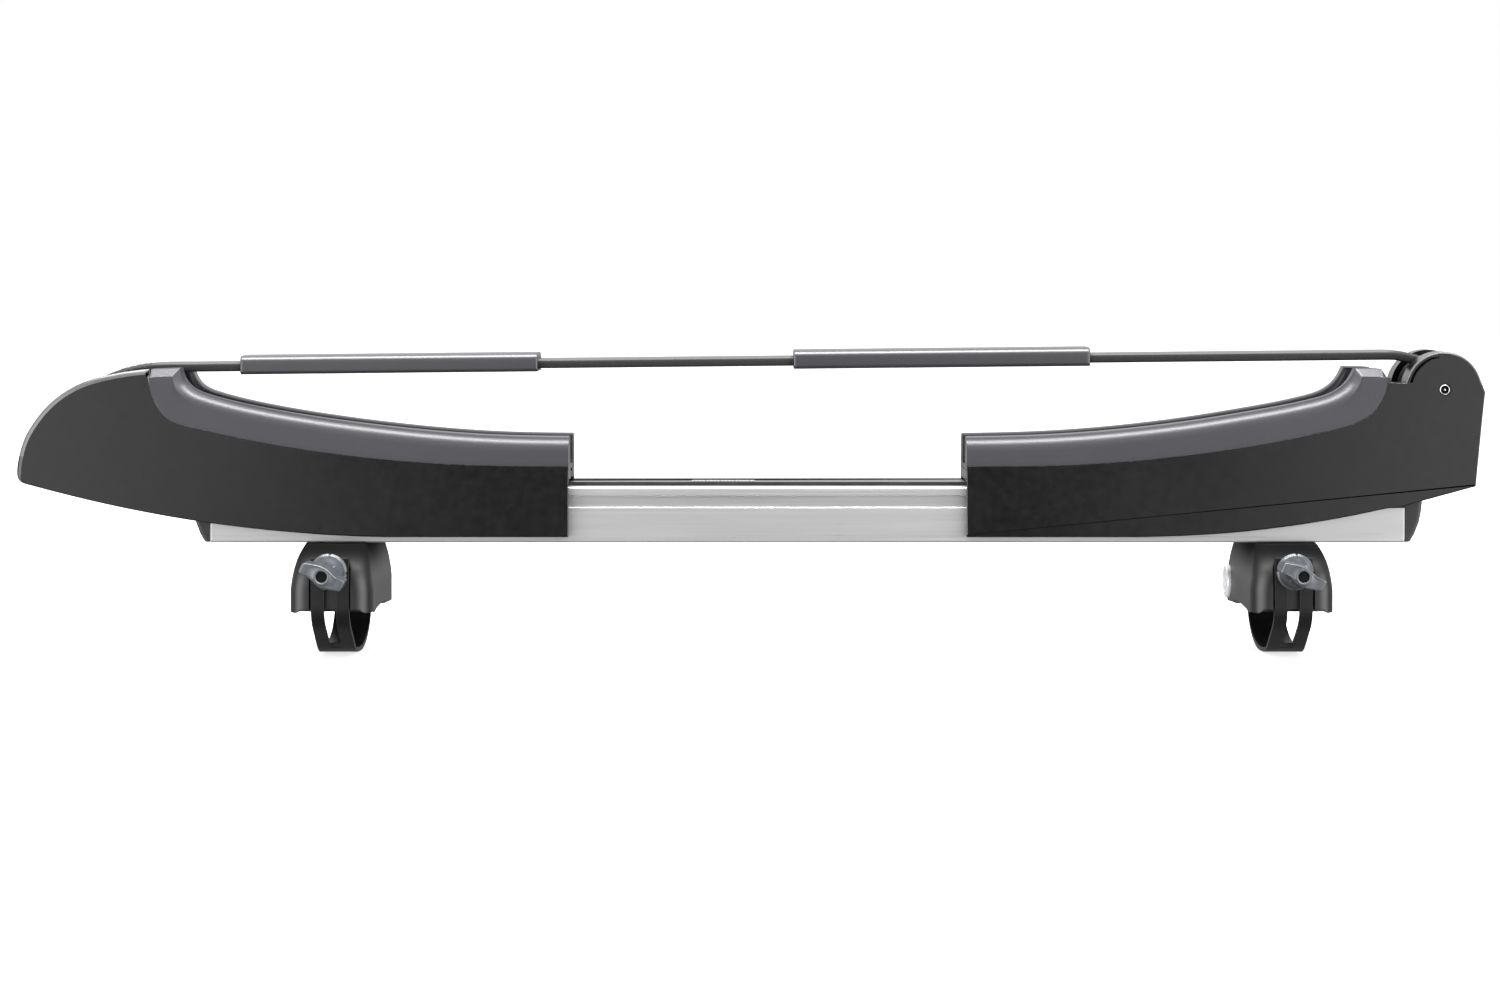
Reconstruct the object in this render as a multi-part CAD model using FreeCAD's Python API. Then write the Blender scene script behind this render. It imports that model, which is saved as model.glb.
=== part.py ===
import FreeCAD, Part
import os
import math

os.makedirs("parts", exist_ok=True)

# Roof carrier for boards: an aluminium cross rail on two bar clamps, a fixed
# cradle on the right, a sliding cradle on the left, and a tie-down strap that
# runs from the left nose to a ratcheting spool in the right cradle.
#
# Frame: origin at the centre of the rail's underside. +X (right) along the
# rail towards the spool, -Y (front) towards the knobs, +Z up. Millimetres.

# --- driving dimensions ------------------------------------------------------
RAIL_HALF = 407.5          # half length of the extrusion
RAIL_Y = 25.0              # half depth of the extrusion
RAIL_H = 38.5              # height of the extrusion
GROOVE_Z0, GROOVE_Z1 = 24.0, 32.0
GROOVE_MID = (GROOVE_Z0 + GROOVE_Z1) / 2
GROOVE_DEPTH = 2.5
STRIP_TOP = 41.0           # top of the slot strip
TOOTH_PITCH = 5.0
TOOTH_COUNT = 52
FIRST_TOOTH_X = -318.0

HALF_Y = 32.0              # half depth of a cradle
WALL = 3.0                 # cover wall
COVER_ROOT = -HALF_Y + WALL - 0.01   # features inside a cover start here, sunk 0.01
COVER_SEAM = -0.1          # where the front cover stops, short of mid-depth
BASE_Z = 4.3               # lowest level of a cradle
RIDGE_IN = 13.5            # inner edge of a pad ridge
TONGUE = 3.0               # pad tongue thickness under the deck line
PAD_OVERLAP = 0.06         # rise of the pad's lower curve above the deck line
CORE_Y = 28.6              # half depth of the cradle core
CORE_LOW = 42.2            # underside of the core, above the strip
CORE_SKIN = 3.0
CORE_POCKET_Y = CORE_Y - CORE_SKIN
CORE_INSET = WALL + 0.5    # core edge behind the cover's outline
CORE_TOP = TONGUE + 0.1    # depth of the core's top below the deck line
POCKET_TOP = TONGUE + 3.3  # depth of its pocket's top below the deck line

STRAP_W = 25.0
STRAP_T = 6.6
STRAP_SLOPE = 0.01002      # rise of the strap per mm towards the spool
STRAP_START = (-443.0, 119.2)   # x, z where the sloping run starts
ANCHOR_X, ANCHOR_Z, ANCHOR_R = -492.0, 93.0, 3.0
ANCHOR_BORE = ANCHOR_R + 0.15

SPOOL_X, SPOOL_Z = 433.5, 104.6
HOUSE_X, HOUSE_Z, HOUSE_R = 432.8, 104.5, 26.0   # round top of the right covers
WALL_TOP_Z = 109.3         # flat wall top left of the housing arc
DRUM_R = 12.2
FLANGE_R = 19.5
CHEEK_IN, CHEEK_OUT = 16.0, 19.0   # faces of each spool cheek
AXLE_R = 3.0
RATCHET_TEETH = 16
RATCHET_ROOT_R = 17.2
PAWL_X, PAWL_Z, PAWL_PIN_R = 447.0, 77.0, 2.0
RIGHT_WALL_X = 400.6       # right end of the right core's hollow part
CORE_BED = (RIGHT_WALL_X - 0.1, 450.6)   # x range of the bed under the spool

COVER_SCREW_R = 2.0
SCREW_HEAD_R = 3.9
CORE_BOLTS_X = (250.0, 330.0)
CORE_BOLT_R = 3.0
SHOES_X = ((-320.0, -280.0), (-215.0, -175.0))

LEFT_FOOT_X = -321.0
RIGHT_FOOT_X = 326.0
FOOT_SKIN = 3.2
FOOT_BOLTS_X = (-14.0, 14.0)   # from the foot's centre
STUD_Z = -16.0
STUD_R = 3.0
BAND_HALF_X = 12.9
BAND_THICK = 3.0
FORK_HALF = 4.0            # half width of the fork slot
PIVOT_Y, PIVOT_Z, PIVOT_R = 52.0, -30.0, 3.0
SADDLE_Z = -45.0
LOCK_Y, LOCK_Z = 43.0, -33.5
LOCK_BORE = 8.2
SHAFT_GAP = 0.05           # radial running clearance


# --- helpers -----------------------------------------------------------------
def vec(x, y, z):
    return FreeCAD.Vector(x, y, z)


def box(x0, x1, y0, y1, z0, z1):
    return Part.makeBox(x1 - x0, y1 - y0, z1 - z0, vec(x0, y0, z0))


def cyl_x(y, z, radius, x0, x1):
    return Part.makeCylinder(radius, x1 - x0, vec(x0, y, z), vec(1, 0, 0))


def cyl_y(x, z, radius, y0, y1):
    return Part.makeCylinder(radius, y1 - y0, vec(x, y0, z), vec(0, 1, 0))


def cyl_z(x, y, radius, z0, z1):
    return Part.makeCylinder(radius, z1 - z0, vec(x, y, z0), vec(0, 0, 1))


def extrude_ring(ring, direction):
    return Part.Face(Part.makePolygon(ring + ring[:1])).extrude(direction)


def poly_xz(pts, y0, y1):
    return extrude_ring([vec(x, y0, z) for x, z in pts], vec(0, y1 - y0, 0))


def poly_yz(pts, x0, x1):
    return extrude_ring([vec(x0, y, z) for y, z in pts], vec(x1 - x0, 0, 0))


def hex_prism(centre, axis, across, length):
    """Hexagonal prism of the given width across flats, along +axis."""
    radius = across / math.sqrt(3.0)
    side, up, along = {"y": (vec(1, 0, 0), vec(0, 0, 1), vec(0, 1, 0)),
                       "z": (vec(1, 0, 0), vec(0, 1, 0), vec(0, 0, 1))}[axis]
    ring = []
    for i in range(6):
        angle = math.radians(60 * i)
        ring.append(centre + side * (radius * math.cos(angle)) + up * (radius * math.sin(angle)))
    return extrude_ring(ring, along * length)


def spline(pts):
    curve = Part.BSplineCurve()
    curve.interpolate([vec(x, 0, z) for x, z in pts])
    return curve


def offset_curve(pts, distance, steps):
    """Points of the smooth curve through pts, moved to the left of travel."""
    curve = spline(pts)
    first, last = curve.FirstParameter, curve.LastParameter
    out = []
    for i in range(steps + 1):
        at = first + (last - first) * i / steps
        point = curve.value(at)
        tangent = curve.tangent(at)[0]
        length = math.hypot(tangent.x, tangent.z)
        out.append((point.x - tangent.z / length * distance,
                    point.z + tangent.x / length * distance))
    return out


def arc_pts(x, z, radius, start, end, steps=14):
    """Points on an arc in the XZ plane; angles in degrees."""
    angles = [math.radians(start + (end - start) * i / steps) for i in range(steps + 1)]
    return [(x + radius * math.cos(a), z + radius * math.sin(a)) for a in angles]


def line_xz(start, end):
    return Part.makeLine(vec(start[0], 0, start[1]), vec(end[0], 0, end[1]))


def apart(start, end):
    return math.hypot(start[0] - end[0], start[1] - end[1]) > 1e-6


def face_xz(*pieces):
    """Closed face in the plane y=0 from ("curve", pts) and ("line", pts)
    pieces in order; lines bridge the gaps and close the ring."""
    edges = []
    last = None
    for kind, pts in pieces:
        if last is not None and apart(last, pts[0]):
            edges.append(line_xz(last, pts[0]))
        if kind == "curve":
            edges.append(spline(pts).toShape())
        else:
            edges += [line_xz(start, end) for start, end in zip(pts[:-1], pts[1:])]
        last = pts[-1]
    first = pieces[0][1][0]
    if apart(last, first):
        edges.append(line_xz(last, first))
    return Part.Face(Part.Wire(edges))


def prism(face, y0, y1):
    moved_face = face.copy()
    moved_face.translate(vec(0, y0, 0))
    return moved_face.extrude(vec(0, y1 - y0, 0))


def mirror_y(shape):
    return shape.mirror(vec(0, 0, 0), vec(0, 1, 0))


def fuse_both_sides(shape, part):
    return shape.fuse(part).fuse(mirror_y(part))


def moved(shape, offset):
    out = shape.copy()
    out.translate(offset)
    return out


def fillet_where(shape, radius, wanted):
    """Fillet the edges whose bounding box passes the test."""
    return shape.makeFillet(radius, [e for e in shape.Edges if wanted(e.BoundBox)])


def save(name, shape):
    if shape.ShapeType == "Solid":
        shape = shape.removeSplitter()
    if shape.ShapeType == "Compound" and len(shape.Solids) == 1:
        shape = shape.Solids[0]
    shape.exportStep("parts/%s.step" % name)


# --- outline curves of the two cradles (x, z) --------------------------------
L_BOTTOM = [(-538.0, 42.0), (-494.7, 30.8), (-453.9, 21.9), (-413.0, 14.8),
            (-372.0, 9.6), (-331.0, 6.1), (-305.0, 4.8), (-285.0, BASE_Z)]
L_NOSE = [(-538.0, 42.0), (-538.2, 50.0), (-537.0, 58.3), (-535.0, 66.2),
          (-531.6, 74.5), (-527.0, 82.0), (-521.9, 88.8), (-515.6, 95.4),
          (-508.5, 101.2), (-501.5, 105.6), (-494.7, 109.0), (-486.5, 112.0),
          (-474.3, 115.0), (-460.7, 117.3), (-447.8, 118.7)]
L_DECK = [(-447.8, 112.8), (-447.6, 107.2), (-446.4, 101.0), (-443.5, 94.0),
          (-439.6, 88.2), (-434.0, 83.6), (-427.0, 80.6), (-413.1, 77.3),
          (-399.5, 74.4), (-365.5, 67.6), (-324.7, 61.3), (-283.9, 56.7),
          (-243.1, 53.8), (-202.3, 52.6), (-162.7, 52.4)]
L_PADTOP = [(-427.7, 119.3), (-426.7, 115.4), (-424.8, 111.2), (-421.6, 107.4),
            (-417.0, 104.3), (-410.4, 101.7), (-394.9, 97.3), (-373.9, 92.7),
            (-332.2, 85.6), (-290.3, 80.1), (-248.5, 75.9), (-206.7, 73.4),
            (-162.7, 72.6)]
L_END = L_DECK[-1][0]      # inner end of the left cradle

R_BOTTOM = [(225.0, BASE_Z), (249.2, 4.9), (281.9, 6.7), (314.5, 10.0),
            (347.1, 14.6), (379.8, 20.7), (388.5, 22.6)]
R_DECK = [(108.3, 52.4), (158.1, 52.7), (212.5, 55.3), (239.7, 57.8),
          (266.9, 61.0), (294.1, 64.8), (321.3, 69.5), (348.5, 75.2),
          (362.1, 78.3), (369.6, 80.6), (376.5, 83.4), (382.5, 87.0),
          (387.3, 91.6), (391.0, 97.6), (393.5, 104.2), (394.6, 110.0),
          (394.7, 112.9)]
R_PADTOP = [(108.3, 72.4), (162.7, 73.8), (218.5, 78.0), (274.2, 85.1),
            (302.1, 89.7), (330.0, 94.8), (343.9, 97.9), (354.0, 100.7),
            (361.0, 103.9), (366.6, 108.0), (370.8, 113.0), (374.0, 119.1)]
R_END = R_DECK[0][0]       # inner end of the right cradle
R_LOW = [(388.5, 22.6), (395.4, 24.0), (403.6, 24.6), (410.4, 26.8), (454.8, 38.8)]
R_EDGE = [(454.8, 38.8), (457.5, 67.1), (461.2, 103.0)]

# cover screws (x, z)
L_SCREWS = [(-500.0, 62.0), (-425.0, 56.0), (-350.0, 50.5), (-240.0, 45.9)]
R_SCREWS = [(215.0, 47.2), (300.0, 54.0), (384.0, 62.0), (447.0, 55.0)]

# the housing arc runs from the wall top on its left round to the end edge;
# the line from the edge's top is tangent to it on the right
ARC_START = 180.0 - math.degrees(math.asin((WALL_TOP_Z - HOUSE_Z) / HOUSE_R))
edge_dx, edge_dz = R_EDGE[-1][0] - HOUSE_X, R_EDGE[-1][1] - HOUSE_Z
ARC_END = math.degrees(math.atan2(edge_dz, edge_dx)
                       + math.acos(HOUSE_R / math.hypot(edge_dx, edge_dz)))
R_ARC = arc_pts(HOUSE_X, HOUSE_Z, HOUSE_R, ARC_START, ARC_END)
R_ARC_IN = arc_pts(HOUSE_X, HOUSE_Z, HOUSE_R - WALL, ARC_START, ARC_END)


# --- strap -------------------------------------------------------------------
def strap_z(x):
    return STRAP_START[1] + STRAP_SLOPE * (x - STRAP_START[0])


WRAP_R = DRUM_R + 0.15 + STRAP_T / 2.0
WRAP_START = 76.0          # angle where the strap lands on the drum
WRAP_END = -205.0          # angle where its end is held
LANDING = (SPOOL_X + WRAP_R * math.cos(math.radians(WRAP_START)),
           SPOOL_Z + WRAP_R * math.sin(math.radians(WRAP_START)))
# centre lines (x, z): over the left nose, and down onto the drum
NOSE_RUN = [(ANCHOR_X, 97.0), (-490.4, 103.4), (-486.0, 107.8), (-480.0, 111.1),
            (-473.0, 113.9), (-466.0, 116.0), (-459.0, 117.6), (-451.0, 118.7),
            STRAP_START, (-430.0, strap_z(-430.0))]
IN_RUN = [(392.0, strap_z(392.0)), (399.0, strap_z(399.0) - 0.05), (405.5, 127.3),
          (412.0, 126.1), (419.0, 124.4), (428.0, 122.2), LANDING]


def strap_body(half_width, grow):
    """Strap thickened by grow on each face, with an unbored anchor loop."""
    normal = vec(-STRAP_SLOPE, 0, 1)
    normal.multiply(1.0 / normal.Length)
    run_start, run_end = NOSE_RUN[-1], IN_RUN[0]

    def one_side(distance):
        nose = offset_curve(NOSE_RUN, distance, 36)
        nose[-1] = (run_start[0] + normal.x * distance, run_start[1] + normal.z * distance)
        run_in = offset_curve(IN_RUN, distance, 30)
        run_in[0] = (run_end[0] + normal.x * distance, run_end[1] + normal.z * distance)
        wrap = arc_pts(SPOOL_X, SPOOL_Z, WRAP_R + distance, WRAP_START, WRAP_END, 48)
        run_in[-1] = wrap[0]
        return nose, run_in, wrap

    half = STRAP_T / 2.0 + grow
    upper = [("curve", pts) for pts in one_side(half)]
    lower = [("curve", pts[::-1]) for pts in one_side(-half)[::-1]]
    body = prism(face_xz(*upper, *lower), -half_width, half_width)
    loop_radius = ANCHOR_BORE + 3.2 + grow
    return body.fuse(cyl_y(ANCHOR_X, ANCHOR_Z, loop_radius, -half_width, half_width))


def tie_down_strap():
    half_width = STRAP_W / 2.0
    bore = cyl_y(ANCHOR_X, ANCHOR_Z, ANCHOR_BORE, -half_width - 1, half_width + 1)
    return strap_body(half_width, 0.0).cut(bore)


# clearance volume cut from everything the strap passes through
STRAP_ROOM = strap_body(STRAP_W / 2.0 + 0.8, 0.6)


def strap_sleeve(x0, x1):
    """Rectangular tube round the strap, tilted to its slope."""
    half = (x1 - x0) / 2
    outer = Part.makeBox(2 * half, 34.0, 13.0, vec(-half, -17.0, -5.4))
    outer = fillet_where(outer, 5.0, lambda span: span.XLength > 100 and span.ZMin > 0)
    outer = fillet_where(outer, 2.2, lambda span: span.XLength > 100 and span.ZMax < 0)
    sleeve = outer.cut(Part.makeBox(2 * half + 2, 25.8, 7.4, vec(-half - 1, -12.9, -3.7)))
    sleeve.rotate(vec(0, 0, 0), vec(0, 1, 0), -math.degrees(math.atan(STRAP_SLOPE)))
    middle = (x0 + x1) / 2
    sleeve.translate(vec(middle, 0, strap_z(middle)))
    return sleeve


save("tie_down_strap", tie_down_strap())
save("strap_anchor_pin", cyl_y(ANCHOR_X, ANCHOR_Z, ANCHOR_R, -26.9, 26.9))
save("strap_sleeve_left", strap_sleeve(-388.9, -184.8))
save("strap_sleeve_right", strap_sleeve(-9.4, 194.1))


# --- rail --------------------------------------------------------------------
def rail():
    body = box(-RAIL_HALF, RAIL_HALF, -RAIL_Y, RAIL_Y, 0, RAIL_H)
    body = fillet_where(body, 2.8, lambda span: abs(span.ZMin - RAIL_H) < 1e-6
                        and span.XLength > 100)
    body = fillet_where(body, 1.2, lambda span: abs(span.ZMax) < 1e-6 and span.XLength > 100)

    def mill(shape, y0, y1, z0, z1):
        return shape.cut(box(-RAIL_HALF - 1, RAIL_HALF + 1, y0, y1, z0, z1))

    for side in (-1, 1):
        groove = sorted((side * (RAIL_Y - GROOVE_DEPTH), side * 30))
        body = mill(body, *groove, GROOVE_Z0, GROOVE_Z1)
        body = mill(body, *sorted((side * 13.5, side * 22.0)), 3.0, 11.0)
    body = mill(body, -19.5, 19.5, 13.5, 26.0)
    # bottom T-slot, then top T-slot
    for half_width, z0, z1 in ((5.5, -1, 3.0), (11, 3.0, 11.0), (9, 36.0, 40.0), (13, 28.5, 36.0)):
        body = mill(body, -half_width, half_width, z0, z1)
    return body


def rail_slot_strip():
    strip = box(-RAIL_HALF, RAIL_HALF, -19, 19, RAIL_H + 0.05, STRIP_TOP).fuse(
        box(-RAIL_HALF, RAIL_HALF, -8.7, 8.7, 36.2, RAIL_H + 0.2))
    notches = []
    for i in range(TOOTH_COUNT):
        x = FIRST_TOOTH_X + i * TOOTH_PITCH
        notches.append(poly_xz([(x - 1.2, STRIP_TOP + 0.1), (x, STRIP_TOP - 0.8),
                                (x + 1.2, STRIP_TOP + 0.1)], -5, 5))
    strip = strip.cut(Part.makeCompound(notches))
    for x in CORE_BOLTS_X:
        strip = strip.cut(cyl_z(x, 0, CORE_BOLT_R + 0.3, 30, 45))
    return strip


def width_scale_plate():
    plate = box(-79.5, -36.0, -13.5, -6.0, STRIP_TOP, STRIP_TOP + 0.4)
    return fillet_where(plate, 2.0, lambda span: span.ZLength > 0.3)


def rail_end_cap():
    """Left cap; its plug enters the rail's hollow."""
    cap = poly_xz([(-407.55, 0.3), (-411.5, 0.3), (-414.8, 6.0), (-417.9, 14.0),
                   (-419.3, 21.0), (-420.2, 29.0), (-420.6, 40.8), (-407.55, 40.8)],
                  -RAIL_Y, RAIL_Y)
    cap = cap.fuse(box(-407.6, -398.0, -19.2, 19.2, 13.8, 25.7))
    # the cap stays sharp if its short profile edges cannot take the radius
    try:
        cap = fillet_where(cap, 2.5, lambda span: span.XMax < -411 and span.YLength < 0.01)
    except Exception:
        pass
    return cap


save("rail", rail())
save("rail_slot_strip", rail_slot_strip())
save("width_scale_plate", width_scale_plate())
save("rail_end_cap_left", rail_end_cap())
save("rail_end_cap_right", rail_end_cap().mirror(vec(0, 0, 0), vec(1, 0, 0)))


# --- features shared by both cradles -----------------------------------------
# Covers are modelled at the front (-Y); the rear ones are mirrored.
def add_end_wall(cover, x0):
    """Wall at the cradle's inner end: above the rail, then beside it."""
    cover = cover.fuse(box(x0, x0 + WALL, COVER_ROOT, COVER_SEAM, CORE_LOW, 49.2))
    return cover.fuse(box(x0, x0 + WALL, COVER_ROOT, -25.8, BASE_Z, CORE_LOW + 0.1))


def add_screw_posts(cover, places):
    for x, z in places:
        cover = cover.fuse(cyl_y(x, z, 4.2, COVER_ROOT, -21.0))
        cover = cover.cut(cyl_y(x, z, COVER_SCREW_R + 0.02, -28.0, -20.0))
    return cover


def cut_screw_holes(cover, places):
    """Counterbored holes through a rear cover."""
    for x, z in places:
        cover = cover.cut(cyl_y(x, z, COVER_SCREW_R + 0.2, 28, 33))
        cover = cover.cut(cyl_y(x, z, SCREW_HEAD_R + 0.2, 30.4, 33))
    return cover


def cut_core_screw_paths(core, places):
    for x, z in places:
        core = core.cut(cyl_y(x, z, 4.5, -29, -20.9))
        core = core.cut(cyl_y(x, z, COVER_SCREW_R + 0.3, -30, 30))
    return core


def cover_screws(places):
    screws = []
    for x, z in places:
        head = cyl_y(x, z, SCREW_HEAD_R, 30.45, 31.9)
        shank = cyl_y(x, z, COVER_SCREW_R, -25.0, 30.5)
        socket = hex_prism(vec(x, 31.1, z), "y", 2.5, 1.5)
        screws.append(head.fuse(shank).cut(socket))
    return Part.makeCompound(screws)


def ribbed_pocket(face, ribs_x):
    """Hollow of a core, with gaps that leave cross ribs standing."""
    pocket = prism(face, -CORE_POCKET_Y, CORE_POCKET_Y)
    for x in ribs_x:
        pocket = pocket.cut(box(x - 1.5, x + 1.5, -26, 26, 40, 125))
    return pocket


def cradle_pad(deck, low, ridge_face):
    """Two ridges with a channel between them; the tongue is its floor."""
    ridge = prism(ridge_face, -HALF_Y, -RIDGE_IN)
    edges = [e for e in ridge.Edges
             if abs(e.BoundBox.YMin + HALF_Y) < 1e-6 and abs(e.BoundBox.YMax + HALF_Y) < 1e-6
             and e.BoundBox.XLength > 200 and e.BoundBox.ZMax > 115 and e.BoundBox.ZMin > 60]
    # the largest radius the outer top edge can take
    for radius in (8.0, 6.0, 4.0):
        try:
            rounded = ridge.makeFillet(radius, edges)
            if rounded.isValid():
                ridge = rounded
                break
        except Exception:
            continue
    under = offset_curve(deck, -TONGUE, 40)
    tongue = prism(face_xz(("curve", under), ("curve", low[::-1])), -28.7, 28.7)
    return ridge.fuse(mirror_y(ridge)).fuse(tongue)


# --- left cradle -------------------------------------------------------------
def left_cover(front):
    shell = face_xz(("curve", L_BOTTOM), ("line", [L_BOTTOM[-1], (L_END, BASE_Z), L_DECK[-1]]),
                    ("curve", L_DECK[::-1]), ("curve", L_NOSE[::-1]))
    cover = prism(shell, -HALF_Y, -HALF_Y + WALL)
    # the cover stays sharp if the nose edge cannot be chamfered
    try:
        cover = cover.makeChamfer(2.4, [
            e for e in cover.Edges
            if abs(e.BoundBox.YMax + HALF_Y) < 1e-6 and e.BoundBox.XMax < -440
            and e.BoundBox.XLength > 50 and e.BoundBox.ZMax > 110])
    except Exception:
        pass
    nose_in = offset_curve(L_NOSE, -WALL, 40)
    rim = prism(face_xz(("curve", L_NOSE), ("curve", nose_in[::-1])), COVER_ROOT, COVER_SEAM)
    rim = rim.cut(box(-494.5, -430.0, -(RIDGE_IN + 0.1), 1.0, 80, 130))
    cover = add_end_wall(cover.fuse(rim), L_END - WALL)
    # opening for the latch button
    cover = cover.cut(box(L_END - 5, L_END + 1, -9.3, 1.0, 42.0, 49.3))
    if front:
        cover = add_screw_posts(cover, L_SCREWS)
    cover = cover.cut(STRAP_ROOM)
    return cover if front else cut_screw_holes(mirror_y(cover), L_SCREWS)


def left_core():
    end_x = L_END - CORE_INSET
    nose_floor = 45.4
    top_line = offset_curve(L_DECK, -CORE_TOP, 40)
    top = [(x, z) for x, z in top_line if x < end_x - 0.1] + [(end_x, top_line[-1][1])]
    pocket_top = [(x, z) for x, z in offset_curve(L_DECK, -POCKET_TOP, 40) if x < -205.0]
    nose = [(x, z) for x, z in offset_curve(L_NOSE, -CORE_INSET, 40)
            if z > 46.0 and x < top[0][0] - 0.3]
    pocket_nose = [(x, z) for x, z in offset_curve(L_NOSE, -CORE_INSET - CORE_SKIN, 40)
                   if z > 49.0 and x < pocket_top[0][0] - 3.3]
    core_face = face_xz(
        ("line", [(nose[0][0], nose_floor), (-520.0, nose_floor), (-505.0, CORE_LOW),
                  (end_x, CORE_LOW)]),
        ("curve", top[::-1]), ("line", [(top[0][0], nose[-1][1])]), ("curve", nose[::-1]))
    pocket_face = face_xz(
        ("line", [(pocket_nose[0][0], nose_floor + CORE_SKIN), (-520.0, nose_floor + CORE_SKIN),
                  (-505.0, CORE_LOW + CORE_SKIN), (-205.0, CORE_LOW + CORE_SKIN)]),
        ("curve", pocket_top[::-1]),
        ("line", [(pocket_top[0][0] - 1.0, pocket_nose[-1][1])]),
        ("curve", pocket_nose[::-1]))
    core = prism(core_face, -CORE_Y, CORE_Y).cut(ribbed_pocket(
        pocket_face, (-512.0, -470.0, -448.0, -404.0, -372.0, -330.0, -288.0, -250.0, -216.0)))
    # skirts beside the rail
    skirt = poly_xz([(end_x, 8.4), (-300.0, 8.4), (-345.0, 13.0), (-345.0, CORE_LOW + 0.5),
                     (end_x, CORE_LOW + 0.5)], -CORE_Y, -25.7)
    core = fuse_both_sides(core, skirt)
    core = cut_core_screw_paths(core, L_SCREWS)
    core = core.cut(STRAP_ROOM)
    core = core.cut(cyl_y(ANCHOR_X, ANCHOR_Z, ANCHOR_R + 0.02, -27.0, 27.0))
    # latch pocket at the inner end
    core = core.cut(box(-181.0, -160.0, -9.4, 9.4, 42.0, 47.3))
    core = core.cut(box(-199.0, -180.9, -4.4, 4.4, 41.0, 47.3))
    for x0, x1 in SHOES_X:
        for side in (-1, 1):
            y0, y1 = sorted((side * 25.0, side * 29.0))
            core = core.cut(cyl_y((x0 + x1) / 2, GROOVE_MID, 2.6, y0, y1))
    return core


def glide_shoes():
    shoes = []
    for x0, x1 in SHOES_X:
        shoe = box(x0, x1, -25.65, -22.8, GROOVE_Z0 + 0.4, GROOVE_Z1 - 0.4).fuse(
            cyl_y((x0 + x1) / 2, GROOVE_MID, 2.5, -28.3, -25.6))
        shoes += [shoe, mirror_y(shoe)]
    return Part.makeCompound(shoes)


def left_pad():
    low = offset_curve(L_DECK, PAD_OVERLAP, 40)
    ridge_face = face_xz(("curve", low), ("curve", L_PADTOP[::-1]),
                         ("line", [(-443.4, 118.9), (low[0][0], 114.2)]))
    pad = cradle_pad(L_DECK, low, ridge_face)
    pad = pad.cut(box(-470, -440, -RIDGE_IN, RIDGE_IN, 80, 125))
    pad = pad.cut(box(L_END, L_END + 10, -40, 40, 40, 90))
    return pad.cut(STRAP_ROOM)


def width_latch_button():
    button = box(-176.0, L_END - 0.15, -9.0, 9.0, 42.5, 47.0)
    return fillet_where(button, 0.8, lambda span: span.XMin > -164 and span.XLength < 0.01)


def width_latch_pawl():
    pawl = box(-196.0, -182.0, -4.1, 4.1, 41.9, 45.8)
    for x in (-193.0, -193.0 + TOOTH_PITCH):
        pawl = pawl.fuse(poly_xz([(x - 1.0, 42.0), (x, 41.25), (x + 1.0, 42.0)], -4.1, 4.1))
    return pawl.cut(poly_xz([(-182.0, 41.5), (-184.0, 41.5), (-182.0, 44.0)], -5, 5))


save("left_front_cover", left_cover(True))
save("left_rear_cover", left_cover(False))
save("left_cover_screws", cover_screws(L_SCREWS))
save("left_core", left_core())
save("glide_shoes", glide_shoes())
save("left_pad", left_pad())
save("width_latch_button", width_latch_button())
save("width_latch_pawl", width_latch_pawl())
save("width_latch_spring", poly_xz([(-198.5, 46.2), (-189.0, 46.9), (-181.2, 46.2),
                                    (-181.2, 46.5), (-189.0, 47.2), (-198.5, 46.5)], -3.0, 3.0))


# --- right cradle ------------------------------------------------------------
def spool_cyl(radius, y0, y1):
    """Cylinder on the spool's axis."""
    return cyl_y(SPOOL_X, SPOOL_Z, radius, y0, y1)


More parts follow.
